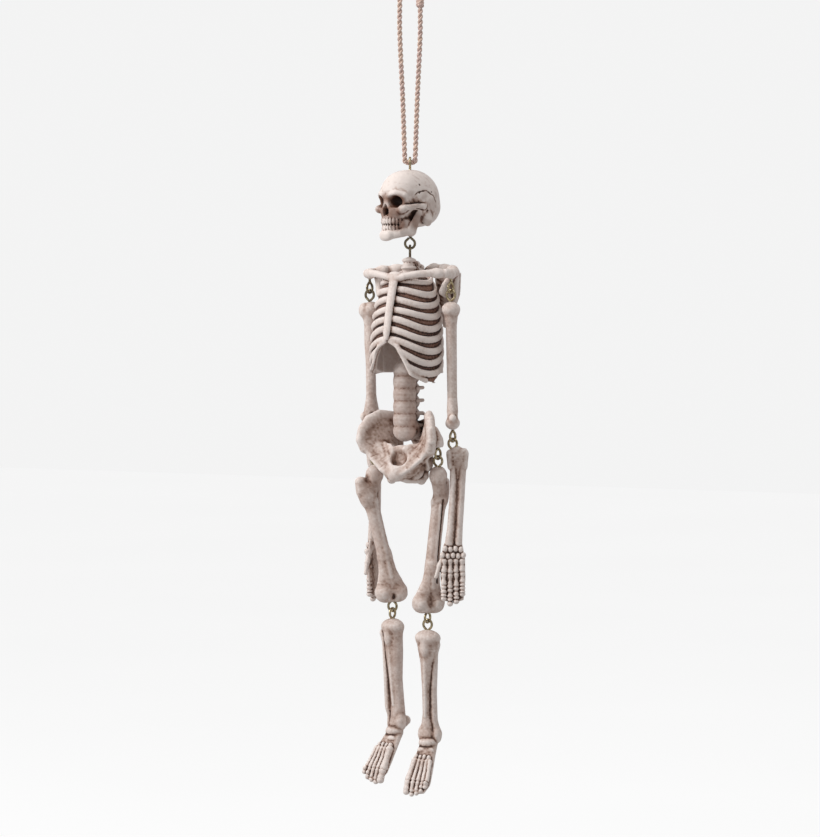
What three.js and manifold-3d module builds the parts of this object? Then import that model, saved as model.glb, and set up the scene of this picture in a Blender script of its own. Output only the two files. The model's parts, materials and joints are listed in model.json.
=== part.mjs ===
// Hanging skeleton model: ten cast bones joined by pairs of interlocked screw eyes and
// hung from a cord loop through an eye in the crown of the skull.
// Millimetres, +Z up. The skeleton faces -Y and its left side is +X.
// The origin is where the cord loop bears on whatever it hangs from.

import * as THREE from 'three';
import { mergeVertices } from 'three/addons/utils/BufferGeometryUtils.js';
import Module from 'manifold-3d';

const wasm = await Module();
wasm.setup();

// ---- driving dimensions ----
const EYE_RADIUS = 1.95;          // centre of the wire in a screw eye
const EYE_WIRE = 0.5;             // wire radius
const LINK_PITCH = 2.65;          // between the centres of two interlocked eyes
const LINK_HALF = LINK_PITCH / 2 + EYE_RADIUS + EYE_WIRE;
const BONE_GAP = 0.3;             // between an eye and the bone it is screwed into
const SHANK_LENGTH = 4.2;         // threaded part below the ring
const BORE_RADIUS = EYE_WIRE + 0.3;

const CORD_RADIUS = 1.0;
const CORD_TURN = 32;             // degrees from +X to the plane of the cord loop
const CROWN_EYE_Z = -75.25;
const NECK_LINK_Z = -108.9;
const SHOULDER = { x: 19.1, y: 0, z: -126.6 };
const ELBOW = { x: 19.1, y: 1.5, z: -185.7 };
const HIP = { x: 14.8, y: -2.7, z: -192.6 };
const KNEE_X = 8.3;
const KNEE_Z = { left: -258.2, right: -254.4 };
const SKULL_TURN = -15;           // degrees, the face looks a little to its right
const SIDES = { left: 1, right: -1 };

const bone = { color: '#c9b8b0', roughness: 0.62, metalness: 0.0 };
const bronze = { color: '#a8936a', roughness: 0.34, metalness: 0.9 };
const twine = { color: '#cfb5ab', roughness: 0.92, metalness: 0.0 };

const skeleton = new THREE.Group();
skeleton.name = 'hanging_skeleton';

// ---- solids ----
function solid(geometry) {
  const plain = geometry.clone();
  plain.deleteAttribute('normal');
  plain.deleteAttribute('uv');
  const merged = mergeVertices(plain, 1e-4);
  return new wasm.Manifold(new wasm.Mesh({
    numProp: 3,
    vertProperties: new Float32Array(merged.attributes.position.array),
    triVerts: new Uint32Array(merged.index.array),
  }));
}

function union(solids) {
  return solids.reduce((whole, next) => whole.add(next));
}

function addMesh(name, body, look) {
  const mesh = body.getMesh();
  const geometry = new THREE.BufferGeometry();
  geometry.setAttribute('position', new THREE.BufferAttribute(new Float32Array(mesh.vertProperties), 3));
  geometry.setIndex(new THREE.BufferAttribute(new Uint32Array(mesh.triVerts), 1));
  geometry.computeVertexNormals();
  const part = new THREE.Mesh(geometry, new THREE.MeshStandardMaterial(look));
  part.name = name;
  skeleton.add(part);
}

// A closed body swept through stations [x, y, z, halfWidth, halfThickness].
// The width lies along `across`, the thickness at right angles to it and to the path.
function sweep(stations, sides = 8, across = [1, 0, 0]) {
  const points = stations.map((s) => new THREE.Vector3(s[0], s[1], s[2]));
  const position = [];
  const index = [];
  points.forEach((point, i) => {
    const before = points[Math.max(i - 1, 0)];
    const after = points[Math.min(i + 1, points.length - 1)];
    const along = after.clone().sub(before).normalize();
    const wide = new THREE.Vector3(...across);
    wide.addScaledVector(along, -wide.dot(along)).normalize();
    const thick = new THREE.Vector3().crossVectors(along, wide);
    for (let k = 0; k < sides; k += 1) {
      const angle = (2 * Math.PI * (k + 0.5)) / sides;
      const p = point.clone();
      p.addScaledVector(wide, stations[i][3] * Math.cos(angle));
      p.addScaledVector(thick, stations[i][4] * Math.sin(angle));
      position.push(p.x, p.y, p.z);
    }
  });
  for (let i = 0; i + 1 < points.length; i += 1) {
    for (let k = 0; k < sides; k += 1) {
      const a = i * sides + k;
      const b = i * sides + ((k + 1) % sides);
      index.push(a, b, a + sides, b, b + sides, a + sides);
    }
  }
  const first = points[0];
  const last = points[points.length - 1];
  position.push(first.x, first.y, first.z, last.x, last.y, last.z);
  const start = points.length * sides;
  const end = (points.length - 1) * sides;
  for (let k = 0; k < sides; k += 1) {
    const next = (k + 1) % sides;
    index.push(start, next, k);
    index.push(start + 1, end + k, end + next);
  }
  const geometry = new THREE.BufferGeometry();
  geometry.setAttribute('position', new THREE.Float32BufferAttribute(position, 3));
  geometry.setIndex(index);
  return solid(geometry);
}

// A rod of round section through points [x, y, z, radius].
function rod(points, sides = 6, across = [0, 0, 1]) {
  return sweep(points.map(([x, y, z, r]) => [x, y, z, r, r]), sides, across);
}

function ellipsoid(x, y, z, rx, ry, rz, around = 12, rows = 8) {
  const geometry = new THREE.SphereGeometry(1, around, rows);
  geometry.rotateX(Math.PI / 2);
  geometry.scale(rx, ry, rz);
  geometry.translate(x, y, z);
  return solid(geometry);
}

function bore(x, y, top, bottom) {
  const geometry = new THREE.CylinderGeometry(BORE_RADIUS, BORE_RADIUS, top - bottom, 8);
  geometry.rotateX(Math.PI / 2);
  geometry.translate(x, y, (top + bottom) / 2);
  return solid(geometry);
}

// Mirrors [x, y, z, ...] stations to one side of the body.
function onSide(side, stations) {
  return stations.map(([x, ...rest]) => [x * side, ...rest]);
}

// Turns stations about the vertical through (x, y).
function turned(stations, degrees, x, y) {
  const a = THREE.MathUtils.degToRad(degrees);
  return stations.map(([px, py, ...rest]) => [
    x + (px - x) * Math.cos(a) - (py - y) * Math.sin(a),
    y + (px - x) * Math.sin(a) + (py - y) * Math.cos(a),
    ...rest,
  ]);
}

// Leans stations sideways, from nothing at `top` to the whole of `lean` at `bottom`.
function leaned(stations, top, bottom, lean) {
  return stations.map(([x, y, z, ...rest]) => {
    const t = (top - z) / (top - bottom);
    return [x + t * lean[0], y + t * lean[1], z, ...rest];
  });
}

// ---- screw eyes ----
// `turn` is the heading of the ring's plane, `way` is +1 when the shank points up.
function screwEye(name, x, y, z, turn, way, shank = SHANK_LENGTH) {
  const ring = new THREE.TorusGeometry(EYE_RADIUS, EYE_WIRE, 6, 14);
  ring.rotateX(Math.PI / 2);
  const length = shank + EYE_WIRE;
  const stem = new THREE.CylinderGeometry(EYE_WIRE, EYE_WIRE, length, 6);
  stem.rotateX(Math.PI / 2);
  stem.translate(0, 0, way * (EYE_RADIUS + length / 2));
  const body = solid(ring).add(solid(stem));
  addMesh(name, body.rotate([0, 0, turn]).translate([x, y, z]), bronze);
}

// Two interlocked eyes centred on (x, y, z); the upper eye lies in the plane `turn`.
function link(name, x, y, z, turn, upperShank = SHANK_LENGTH) {
  screwEye(`${name}_upper_eye`, x, y, z + LINK_PITCH / 2, turn, 1, upperShank);
  screwEye(`${name}_lower_eye`, x, y, z - LINK_PITCH / 2, turn + 90, -1);
}

// Where the bone above a link ends, and where the bone below it starts.
function boneAbove(z) {
  return z + LINK_HALF + BONE_GAP;
}

function boneBelow(z) {
  return z - LINK_HALF - BONE_GAP;
}

// ---- skull ----
function skull() {
  const seat = boneAbove(NECK_LINK_Z);
  const crown = CROWN_EYE_Z - EYE_RADIUS - EYE_WIRE - BONE_GAP;
  const middle = crown - 11.6;
  const pieces = [
    ellipsoid(0, 0.2, middle, 9.8, 13.2, 11.6, 20, 12),
    sweep([
      [0, -6.0, -85, 7.6, 5.0], [0, -6.8, -90, 8.2, 5.6],
      [0, -7.0, -94, 6.6, 5.6], [0, -7.6, -100, 4.8, 5.2], [0, -7.8, -103, 4.4, 4.6],
    ], 12),
    sweep([
      [-7.2, -3.6, -93.5, 1.2, 1.8], [-6.9, -4.6, -100.5, 1.3, 2.4], [-5.4, -8.6, -103.6, 1.5, 1.7],
      [-2.6, -12.6, -104.6, 1.5, 2.0], [2.6, -12.6, -104.6, 1.5, 2.0], [5.4, -8.6, -103.6, 1.5, 1.7],
      [6.9, -4.6, -100.5, 1.3, 2.4], [7.2, -3.6, -93.5, 1.2, 1.8],
    ], 6, [0, 1, 0.2]),
    sweep([[0, 1, -95, 3.4, 3.4], [0, 0.6, -101, 3.0, 3.0], [0, 0, seat, 2.4, 2.6]], 8),
  ];
  for (const side of Object.values(SIDES)) {
    pieces.push(rod(onSide(side, [
      [5.8, -11.4, -93.4, 1.5], [8.4, -8.6, -92.2, 1.2], [9.3, -3.6, -91.8, 1.0], [8.8, 0.6, -92.4, 1.4],
    ])));
    pieces.push(ellipsoid(side * 7.0, 3.6, -98.4, 2.2, 2.8, 3.2, 8, 6));
  }
  let body = union(pieces);
  for (const side of Object.values(SIDES)) {
    body = body.subtract(ellipsoid(side * 4.3, -12.2, -90.4, 2.8, 3.6, 2.7, 12, 8));
  }
  body = body.subtract(sweep([[0, -12.8, -91.4, 0.7, 2.2], [0, -13.4, -94.8, 1.7, 2.4]], 6));
  body = body.rotate([0, 0, SKULL_TURN]);
  body = body.subtract(bore(0, 0, crown + 2, crown - SHANK_LENGTH - 0.5));
  body = body.subtract(bore(0, 0, seat + SHANK_LENGTH + 0.2, seat - 2));
  addMesh('skull', body, bone);
}

// ---- torso: rib cage, spine, shoulder girdle and pelvis in one casting ----
const CHEST_Y = -1.5;
const CHEST = [
  // z, half width, front depth, back depth
  [-118.4, 6.0, 5.4, 4.5],
  [-121.0, 10.0, 9.2, 7.8],
  [-128.0, 12.8, 11.6, 10.4],
  [-138.0, 14.2, 14.6, 12.4],
  [-150.0, 14.8, 16.6, 12.8],
  [-160.0, 14.6, 16.4, 12.0],
  [-174.0, 13.6, 15.4, 10.8],
];
const RIB_COUNT = 10;
const RIB_TOP = -121.4;
const RIB_PITCH = 3.9;
const RIB_RELIEF = 0.9;
const SHELL_WALL = 1.7;

function chestAt(z) {
  const last = CHEST.length - 1;
  if (z >= CHEST[0][0]) return CHEST[0];
  if (z <= CHEST[last][0]) return CHEST[last];
  const i = CHEST.findIndex((row) => row[0] < z);
  const t = (CHEST[i - 1][0] - z) / (CHEST[i - 1][0] - CHEST[i][0]);
  return CHEST[i].map((value, k) => CHEST[i - 1][k] + t * (value - CHEST[i - 1][k]));
}

function chestPoint(angle, z, inset) {
  const [, width, front, back] = chestAt(z);
  const depth = Math.cos(angle) > 0 ? front : back;
  return [(width - inset) * Math.sin(angle), CHEST_Y - (depth - inset) * Math.cos(angle), z];
}

// How far a rib hangs below its height at the breastbone, going round to the spine.
function ribSag(angle, level) {
  const turn = Math.abs(angle);
  const lowest = THREE.MathUtils.degToRad(72);
  const depth = 1.4 + 0.62 * level;
  if (turn < lowest) return depth * 0.5 * (1 - Math.cos((Math.PI * turn) / lowest));
  const t = (turn - lowest) / (Math.PI - lowest);
  return depth - (depth + 5.0) * 0.5 * (1 - Math.cos(Math.PI * t));
}

function chestBody(rows, around) {
  const position = [];
  const index = [];
  rows.forEach(([z, inset, level]) => {
    for (let k = 0; k < around; k += 1) {
      const angle = (2 * Math.PI * k) / around;
      const folded = angle > Math.PI ? angle - 2 * Math.PI : angle;
      position.push(...chestPoint(folded, z - ribSag(folded, level), inset));
    }
  });
  for (let i = 0; i + 1 < rows.length; i += 1) {
    for (let k = 0; k < around; k += 1) {
      const a = i * around + k;
      const b = i * around + ((k + 1) % around);
      index.push(a, a + around, b, b, a + around, b + around);
    }
  }
  const start = rows.length * around;
  position.push(0, CHEST_Y, rows[0][0], 0, CHEST_Y, rows[rows.length - 1][0]);
  const end = (rows.length - 1) * around;
  for (let k = 0; k < around; k += 1) {
    const next = (k + 1) % around;
    index.push(start, k, next);
    index.push(start + 1, end + next, end + k);
  }
  const geometry = new THREE.BufferGeometry();
  geometry.setAttribute('position', new THREE.Float32BufferAttribute(position, 3));
  geometry.setIndex(index);
  return solid(geometry);
}

function ribCage() {
  const outside = [[RIB_TOP + 2.4, RIB_RELIEF, 0]];
  const inside = [[RIB_TOP - 2.2, SHELL_WALL + RIB_RELIEF + 1, 0]];
  for (let level = 0; level < RIB_COUNT; level += 1) {
    const z = RIB_TOP - level * RIB_PITCH;
    outside.push([z, 0, level], [z - RIB_PITCH * 0.5, 0, level], [z - RIB_PITCH * 0.72, RIB_RELIEF, level]);
    if (level % 2 === 1) inside.push([z, SHELL_WALL + RIB_RELIEF, level]);
  }
  const floor = RIB_TOP - RIB_COUNT * RIB_PITCH;
  outside.push([floor - 1, RIB_RELIEF, RIB_COUNT]);
  inside.push([floor - 8, SHELL_WALL + RIB_RELIEF, RIB_COUNT]);
  const shell = chestBody(outside, 22).subtract(chestBody(inside, 14));
  return shell.subtract(costalArch()).subtract(cageFloor());
}

// The opening under the breastbone, cut through the front wall only.
function costalArch() {
  const half = [[4.4, -148.8], [7.3, -154.8], [9.3, -160.4], [13.6, -163.2], [20, -164.5]];
  const outline = new THREE.Shape();
  outline.moveTo(0, -145.4);
  half.forEach(([x, z]) => outline.lineTo(x, z));
  outline.lineTo(20, -190);
  outline.lineTo(-20, -190);
  half.toReversed().forEach(([x, z]) => outline.lineTo(-x, z));
  outline.closePath();
  const geometry = new THREE.ExtrudeGeometry(outline, { depth: 40, bevelEnabled: false, steps: 1 });
  geometry.rotateX(Math.PI / 2);
  geometry.translate(0, CHEST_Y + 0.5, 0);
  return solid(geometry);
}

function cageFloor() {
  const geometry = new THREE.BoxGeometry(60, 60, 40);
  geometry.translate(0, 0, -160.5 - 20);
  return solid(geometry).subtract(solid(new THREE.BoxGeometry(60, 30, 8).translate(0, -15 + CHEST_Y, -162)));
}

function spine() {
  const neck = boneBelow(NECK_LINK_Z);
  const column = [
    sweep([[0, -0.8, neck, 2.7, 2.6], [0, -1.2, -117, 3.2, 3.0], [0, 0.5, -122, 3.4, 3.4]], 8),
    sweep([
      [0, 1.4, -115.2, 1.6, 1.4], [0, 5.0, -116.2, 2.2, 1.7],
      [0, 8.6, -118.6, 3.4, 2.0], [0, 8.8, -123, 3.4, 2.2],
    ], 6),
    sweep([
      [0, 8.2, -122, 2.4, 2.6], [0, 10.6, -134, 2.4, 2.6], [0, 10.2, -148, 2.4, 2.8],
      [0, 4.0, -155, 3.4, 3.6], [0, -3.6, -160, 4.2, 4.0],
    ], 8),
  ];
  for (let level = 0; level < 5; level += 1) {
    const top = -158.2 - level * 5.0;
    column.push(sweep([
      [0, -4.0, top, 4.6, 4.3], [0, -4.0, top - 2.2, 4.0, 3.8], [0, -4.0, top - 5.0, 4.6, 4.3],
    ], 8));
    column.push(sweep([
      [0, -1, top - 2.4, 1.9, 1.4], [0, 3.4, top - 2.9, 1.5, 1.5], [0, 6.4, top - 3.9, 1.0, 1.4],
    ], 6));
  }
  return union(column);
}

function shoulderGirdle(side) {
  const under = boneAbove(SHOULDER.z);
  return union([
    rod(onSide(side, [
      [0.8, -11.2, -121.2, 1.9], [9, -9.8, -119.8, 1.5], [14, -6.4, -119.2, 1.5], [18.4, -2.2, -119.6, 1.8],
    ])),
    sweep(onSide(side, [
      [18.2, -3.2, -120.0, 1.6, 1.9], [19.1, 0, (under - 118.2) / 2, 2.2, (-118.2 - under) / 2 + 0.2],
      [19.4, 3.2, -118.8, 1.7, 1.8], [14.6, 7.2, -117.6, 1.6, 1.7],
      [8.6, 9.2, -117.0, 1.5, 1.6], [3.0, 9.0, -117.6, 1.5, 1.6],
    ]), 8, [1, 0, 0]),
    sweep(onSide(side, [
      [13.6, 8.2, -118.6, 5.6, 1.1], [13.0, 9.0, -127.0, 5.2, 1.0],
      [11.4, 10.2, -134, 3.2, 1.0], [10.2, 10.8, -141.5, 1.2, 0.9],
    ]), 6),
    rod(onSide(side, [[19.2, 4.6, -119.6, 1.2], [17.4, 6.4, -129.4, 1.4], [13.4, 9.4, -134, 1.0]])),
  ]);
}

function breastbone() {
  return sweep([
    [0, -11.4, -119.6, 2.5, 1.1], [0, -12.0, -122.4, 1.9, 1.1], [0, -15.6, -134.0, 1.7, 1.1],
    [0, -17.8, -143.6, 1.5, 1.0], [0, -18.2, -147.0, 0.8, 0.7],
  ], 6);
}

// A place on the iliac blade, which runs from the sacrum outwards and forwards.
function onBlade(along, z, ...rest) {
  return [6 + 0.61 * along, 3 - 0.79 * along, z, ...rest];
}

function hipBone(side) {
  const seat = boneAbove(HIP.z);
  return union([
    sweep(onSide(side, [
      onBlade(4.6, -196.0, 3.2, 1.0),
      onBlade(4.4, -192.4, 4.6, 1.1),
      onBlade(7.0, -187.8, 7.0, 1.2),
      onBlade(9.4, -185.4, 8.8, 1.2),
      onBlade(9.0, -180.6, 8.6, 1.1),
      onBlade(8.2, -176.6, 6.2, 1.1),
      onBlade(8.2, -174.8, 3.6, 0.9),
    ]), 10, [0.61 * side, -0.79, 0]),
    sweep(onSide(side, [
      onBlade(14.6, -182.0, 1.8, 1.4),
      onBlade(17.2, -185.4, 1.8, 1.5),
      onBlade(14.2, -188.8, 1.6, 1.5),
    ]), 8),
    sweep(onSide(side, [
      [11.0, -4.0, -182.0, 2.4, 2.2], [13.4, -3.0, -185.6, 3.0, 2.8], [14.3, -2.7, seat, 3.0, 2.8],
    ]), 8),
    sweep(onSide(side, [
      [8.0, 0.8, -180.6, 4.4, 1.4], [5.0, 4.0, -181.6, 4.4, 1.8], [0, 5.2, -182.6, 3.8, 2.2],
    ]), 8, [0, 0, 1]),
    sweep(onSide(side, [
      [11.6, -7.4, -187.0, 2.2, 1.6], [7.6, -9.6, -192.8, 2.2, 1.6],
      [2.6, -10.9, -197.2, 2.4, 1.6], [0, -11.0, -198.4, 2.8, 1.9],
    ]), 8, [0, 0, 1]),
    sweep(onSide(side, [
      [9.6, -3.6, -187.4, 2.2, 2.0], [7.8, -2.2, -195.0, 2.0, 1.8],
      [7.4, -1.8, -200.0, 2.4, 2.2], [6.9, -2.6, -202.8, 1.8, 1.5],
    ]), 8),
    rod(onSide(side, [[7.6, -2.4, -202.0, 1.6], [3.6, -8.0, -201.6, 1.5], [0, -10.8, -199.8, 1.8]])),
    sweep(onSide(side, [
      [9.6, -4.6, -191.4, 3.2, 0.6], [6.6, -6.4, -196.4, 4.2, 0.6], [4.2, -7.6, -201.2, 2.2, 0.6],
    ]), 6, [0.62 * side, 0.78, 0]),
  ]);
}

function sacrum() {
  return sweep([
    [0, -2.2, -179.8, 4.8, 3.6], [0, 2.6, -182.4, 5.2, 2.8], [0, 5.6, -185.0, 3.6, 1.8],
    [0, 6.0, -188.6, 2.0, 1.1], [0, 5.2, -191.4, 0.9, 0.7],
  ], 8);
}

function torso() {
  let body = union([
    ribCage(), spine(), breastbone(), sacrum(),
    shoulderGirdle(1), shoulderGirdle(-1), hipBone(1), hipBone(-1),
  ]);
  const neck = boneBelow(NECK_LINK_Z);
  body = body.subtract(bore(0, 0, neck + 2, neck - SHANK_LENGTH - 0.2));
  for (const side of Object.values(SIDES)) {
    const shoulder = boneAbove(SHOULDER.z);
    const hip = boneAbove(HIP.z);
    body = body.subtract(bore(side * SHOULDER.x, SHOULDER.y, shoulder + SHOULDER_SHANK + 0.2, shoulder - 2));
    body = body.subtract(bore(side * HIP.x, HIP.y, hip + SHANK_LENGTH + 0.2, hip - 2));
  }
  addMesh('torso', body, bone);
}

// ---- limbs ----
const SHOULDER_SHANK = 2.8;       // the shoulder eyes go into thinner bone
const FINGERTIP_Z = -251.6;
const FOREARM_TURN = { left: -58, right: 0 };
const FOREARM_LEAN = { left: [0.8, -1.3], right: [0, 2.4] };
const THIGH_HEADING = { left: 98, right: 235 };
const KNEE_HEADING = { left: 50, right: 225 };
const UPPER_ARM_HEADING = { left: 122, right: 212 };
const FOOT_TURN = { left: 2, right: -16 };

// Drills the bone for the eye above it and, if it has one, the eye below it.
function drill(body, x, y, top, lower) {
  let drilled = body.subtract(bore(x, y, top + 2, top - SHANK_LENGTH - 0.2));
  if (lower) {
    drilled = drilled.subtract(bore(lower.x, lower.y, lower.z + SHANK_LENGTH + 0.2, lower.z - 2));
  }
  return drilled;
}

// `heading` is the way the wide axis of the elbow end lies, in degrees from +X.
function upperArm(name, side, heading) {
  const top = boneBelow(SHOULDER.z);
  const bottom = boneAbove(ELBOW.z);
  const { x, y } = SHOULDER;
  const angle = THREE.MathUtils.degToRad(heading);
  const body = sweep(onSide(side, [
    [x, y, top, 2.4, 2.6], [x, y, top - 1.6, 4.1, 3.8], [x, y + 0.1, top - 5.0, 3.9, 3.6],
    [x, y + 0.2, top - 9.6, 2.5, 2.5], [x, y + 0.6, -156, 2.3, 2.4], [x, y + 1.1, bottom + 12, 2.4, 2.3],
    [x, ELBOW.y, bottom + 5.4, 3.9, 2.5], [x, ELBOW.y, bottom + 1.6, 4.3, 2.8], [x, ELBOW.y, bottom, 3.4, 2.3],
  ]), 10, [Math.cos(angle), Math.sin(angle), 0]);
  addMesh(name, drill(body, side * x, y, top, { x: side * ELBOW.x, y: ELBOW.y, z: bottom }), bone);
}

function forearm(name, side, turn, lean) {
  const top = boneBelow(ELBOW.z);
  const { x, y } = ELBOW;
  const place = (stations) => leaned(turned(onSide(side, stations), turn, x * side, y), top, FINGERTIP_Z, lean);
  const wide = turned([[0, 1, 0]], turn, 0, 0)[0];
  const pieces = [
    sweep(place([
      [x, y + 0.4, top, 3.0, 2.6], [x, y + 1.9, top - 2.4, 5.0, 3.0], [x, y + 2.2, top - 6, 4.0, 2.6],
      [x, y + 2.0, top - 13, 3.3, 2.0], [x, y + 1.3, -216, 3.2, 1.8], [x, y + 0.4, -228, 3.6, 2.0],
      [x, y + 0.2, -231, 4.2, 1.8], [x, y + 0.1, -235, 4.9, 1.7], [x, y + 0.1, -241.5, 5.3, 1.5],
    ]), 10, wide),
    rod(place([[x, y - 2.4, -231.0, 1.3], [x, y - 5.0, -236, 1.2], [x, y - 6.6, -241.6, 1.0]]), 6, [0, 0.2, 1]),
  ];
  const reach = [-249.2, FINGERTIP_Z, -250.6, -247.4];
  reach.forEach((tip, finger) => {
    const across = y - 3.5 + finger * 2.45;
    pieces.push(rod(place([
      [x, across, -240, 1.35], [x, across, -244.6, 1.25], [x, across, tip, 0.95],
    ]), 6, wide));
  });
  addMesh(name, drill(union(pieces), side * x, y, top), bone);
}

// `heading` is the way the greater trochanter points, in degrees from +X.
function thigh(name, kneeZ, hip, knee, heading, kneeHeading) {
  const top = boneBelow(HIP.z);
  const bottom = boneAbove(kneeZ);
  const angle = THREE.MathUtils.degToRad(heading);
  const kneeAngle = THREE.MathUtils.degToRad(kneeHeading);
  const wide = [Math.cos(angle), Math.sin(angle), 0];
  const kneeWide = [Math.cos(kneeAngle), Math.sin(kneeAngle), 0];
  const place = (stations) => stations.map(([out, z, ...rest]) => {
    const t = (top - z) / (top - bottom);
    return [
      hip.x + t * (knee.x - hip.x) + out * wide[0],
      hip.y + t * (knee.y - hip.y) + out * wide[1], z, ...rest,
    ];
  });
  const body = union([
    sweep(place([
      [0.2, top, 1.9, 1.9], [0.8, top - 1.4, 3.4, 3.4], [1.0, top - 4.6, 3.5, 3.5],
      [1.8, top - 8.6, 2.7, 2.7], [3.2, top - 13, 3.3, 2.7],
    ]), 10, wide),
    sweep(place([
      [8.6, top - 5.2, 1.2, 1.3], [8.0, top - 7.2, 2.2, 1.9], [5.8, top - 12.4, 3.0, 2.4],
      [3.6, top - 18, 2.7, 2.6], [2.1, top - 30, 2.5, 2.5], [0.6, bottom + 14, 2.6, 2.6],
    ]), 10, wide),
    sweep(place([
      [0.8, bottom + 17, 2.5, 2.5], [0.3, bottom + 8, 4.2, 3.1], [0.1, bottom + 4, 6.2, 3.8],
      [0, bottom + 1.2, 6.5, 4.0], [0, bottom, 5.0, 3.1],
    ]), 10, kneeWide),
  ]);
  addMesh(name, drill(body, hip.x, hip.y, top, { ...knee, z: bottom }), bone);
}

function lowerLeg(name, side, kneeZ, footTurn) {
  const top = boneBelow(kneeZ);
  const ankle = top - 41.5;
  const x = KNEE_X;
  const place = (stations) => turned(onSide(side, stations), footTurn, x * side, 0);
  const wide = turned([[1, 0, 0]], footTurn, 0, 0)[0];
  const pieces = [
    sweep(place([
      [x, 0, top, 3.6, 2.8], [x, 0, top - 1.6, 5.2, 3.8], [x - 0.2, 0.2, top - 5, 4.4, 3.5],
      [x - 0.5, 0.6, top - 12, 2.8, 3.0], [x - 0.7, 1.2, top - 24, 2.3, 2.7], [x - 0.9, 2.0, ankle + 8, 2.4, 2.6],
      [x - 1.0, 2.3, ankle + 1, 3.5, 3.2], [x - 0.8, 1.6, ankle - 3, 3.6, 3.6],
    ]), 10, wide),
    sweep(place([
      [x + 4.0, 1.6, top - 4.2, 1.2, 1.3], [x + 3.2, 1.7, top - 8, 1.5, 1.5], [x + 2.4, 1.9, top - 24, 1.3, 1.4],
      [x + 2.6, 2.6, ankle + 6, 1.5, 1.6], [x + 2.8, 2.8, ankle - 0.4, 1.8, 1.9],
    ]), 8, wide),
    rod(place([[x - 0.4, 2.4, ankle - 1, 3.2], [x - 0.4, 5.6, ankle + 0.6, 2.9], [x - 0.4, 7.2, ankle + 1.2, 1.8]]), 8),
    sweep(place([
      [x - 0.2, 0.6, ankle - 1.4, 3.6, 3.0], [x, -3.0, ankle - 6.6, 3.9, 2.5], [x + 0.2, -6.6, ankle - 12.6, 4.7, 1.9],
      [x + 0.4, -8.8, ankle - 17.8, 5.1, 1.5],
    ]), 10, wide),
  ];
  const toes = [[-3.9, 1.4, -23.2], [-1.4, 1.0, -23.8], [0.7, 0.95, -23.2], [2.7, 0.9, -22.2], [4.5, 0.85, -20.8]];
  toes.forEach(([across, radius, drop]) => {
    pieces.push(rod(place([
      [x + 0.4 + across, -8.6, ankle - 17.2, radius], [x + 0.5 + across, -10.2, ankle + drop + 1.6, radius],
      [x + 0.5 + across, -10.6, ankle + drop, radius * 0.55],
    ]), 6, [1, 0, 0]));
  });
  addMesh(name, drill(union(pieces), side * x, 0, top), bone);
}

// ---- cord ----
function cordLoop() {
  const lean = THREE.MathUtils.degToRad(CORD_TURN);
  const seat = CROWN_EYE_Z + 0.1;
  const knotZ = -11;
  const half = [[1.7, seat + 0.5], [2.1, seat + 2.4], [2.9, -50], [4.0, -26]];
  const path = [
    [3.9, knotZ + 3.0], [3.7, -4.0], [2.7, -0.4], [0, 1.0], [-2.7, -0.4], [-3.7, -4.0], [-4.1, -14],
    ...half.toReversed().map(([u, z]) => [-u, z]),
    [0, seat - 0.1],
    ...half,
    [4.1, knotZ - 3.0],
  ];
  const points = path.map(([u, z]) => new THREE.Vector3(u * Math.cos(lean), u * Math.sin(lean), z));
  const curve = new THREE.CatmullRomCurve3(points, false, 'centripetal');
  const section = new THREE.Shape();
  for (let k = 0; k < 8; k += 1) {
    const angle = (Math.PI * (k + 0.5)) / 4;
    const method = k === 0 ? 'moveTo' : 'lineTo';
    section[method](CORD_RADIUS * Math.cos(angle), CORD_RADIUS * Math.sin(angle));
  }
  section.closePath();
  const tube = new THREE.ExtrudeGeometry(section, { steps: 56, extrudePath: curve, bevelEnabled: false });
  addMesh('cord_loop', solid(tube), twine);
  const knot = new THREE.SphereGeometry(1, 10, 8);
  knot.rotateX(Math.PI / 2);
  knot.scale(1.9, 1.9, 2.6);
  knot.translate(4.0 * Math.cos(lean), 4.0 * Math.sin(lean), knotZ);
  addMesh('cord_knot', solid(knot), twine);
}

// ---- assembly ----
cordLoop();
screwEye('crown_eye', 0, 0, CROWN_EYE_Z, CORD_TURN + 90, -1);
skull();
link('neck', 0, 0, NECK_LINK_Z, CORD_TURN);
torso();
for (const [name, side] of Object.entries(SIDES)) {
  link(`${name}_shoulder`, side * SHOULDER.x, SHOULDER.y, SHOULDER.z, 90, SHOULDER_SHANK);
  upperArm(`${name}_upper_arm`, side, UPPER_ARM_HEADING[name]);
  link(`${name}_elbow`, side * ELBOW.x, ELBOW.y, ELBOW.z, 90);
  forearm(`${name}_forearm_hand`, side, FOREARM_TURN[name], FOREARM_LEAN[name]);
  link(`${name}_hip`, side * HIP.x, HIP.y, HIP.z, 90);
  const hip = { x: side * HIP.x, y: HIP.y };
  const knee = { x: side * KNEE_X, y: 0 };
  thigh(`${name}_thigh`, KNEE_Z[name], hip, knee, THIGH_HEADING[name], KNEE_HEADING[name]);
  link(`${name}_knee`, side * KNEE_X, 0, KNEE_Z[name], name === 'left' ? 90 : 0);
  lowerLeg(`${name}_lower_leg_foot`, side, KNEE_Z[name], FOOT_TURN[name]);
}

export default skeleton;
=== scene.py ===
"""Looks of the hanging skeleton: sculpted cast bones, wire screw eyes and a twisted cord."""
import json
import math

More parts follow.
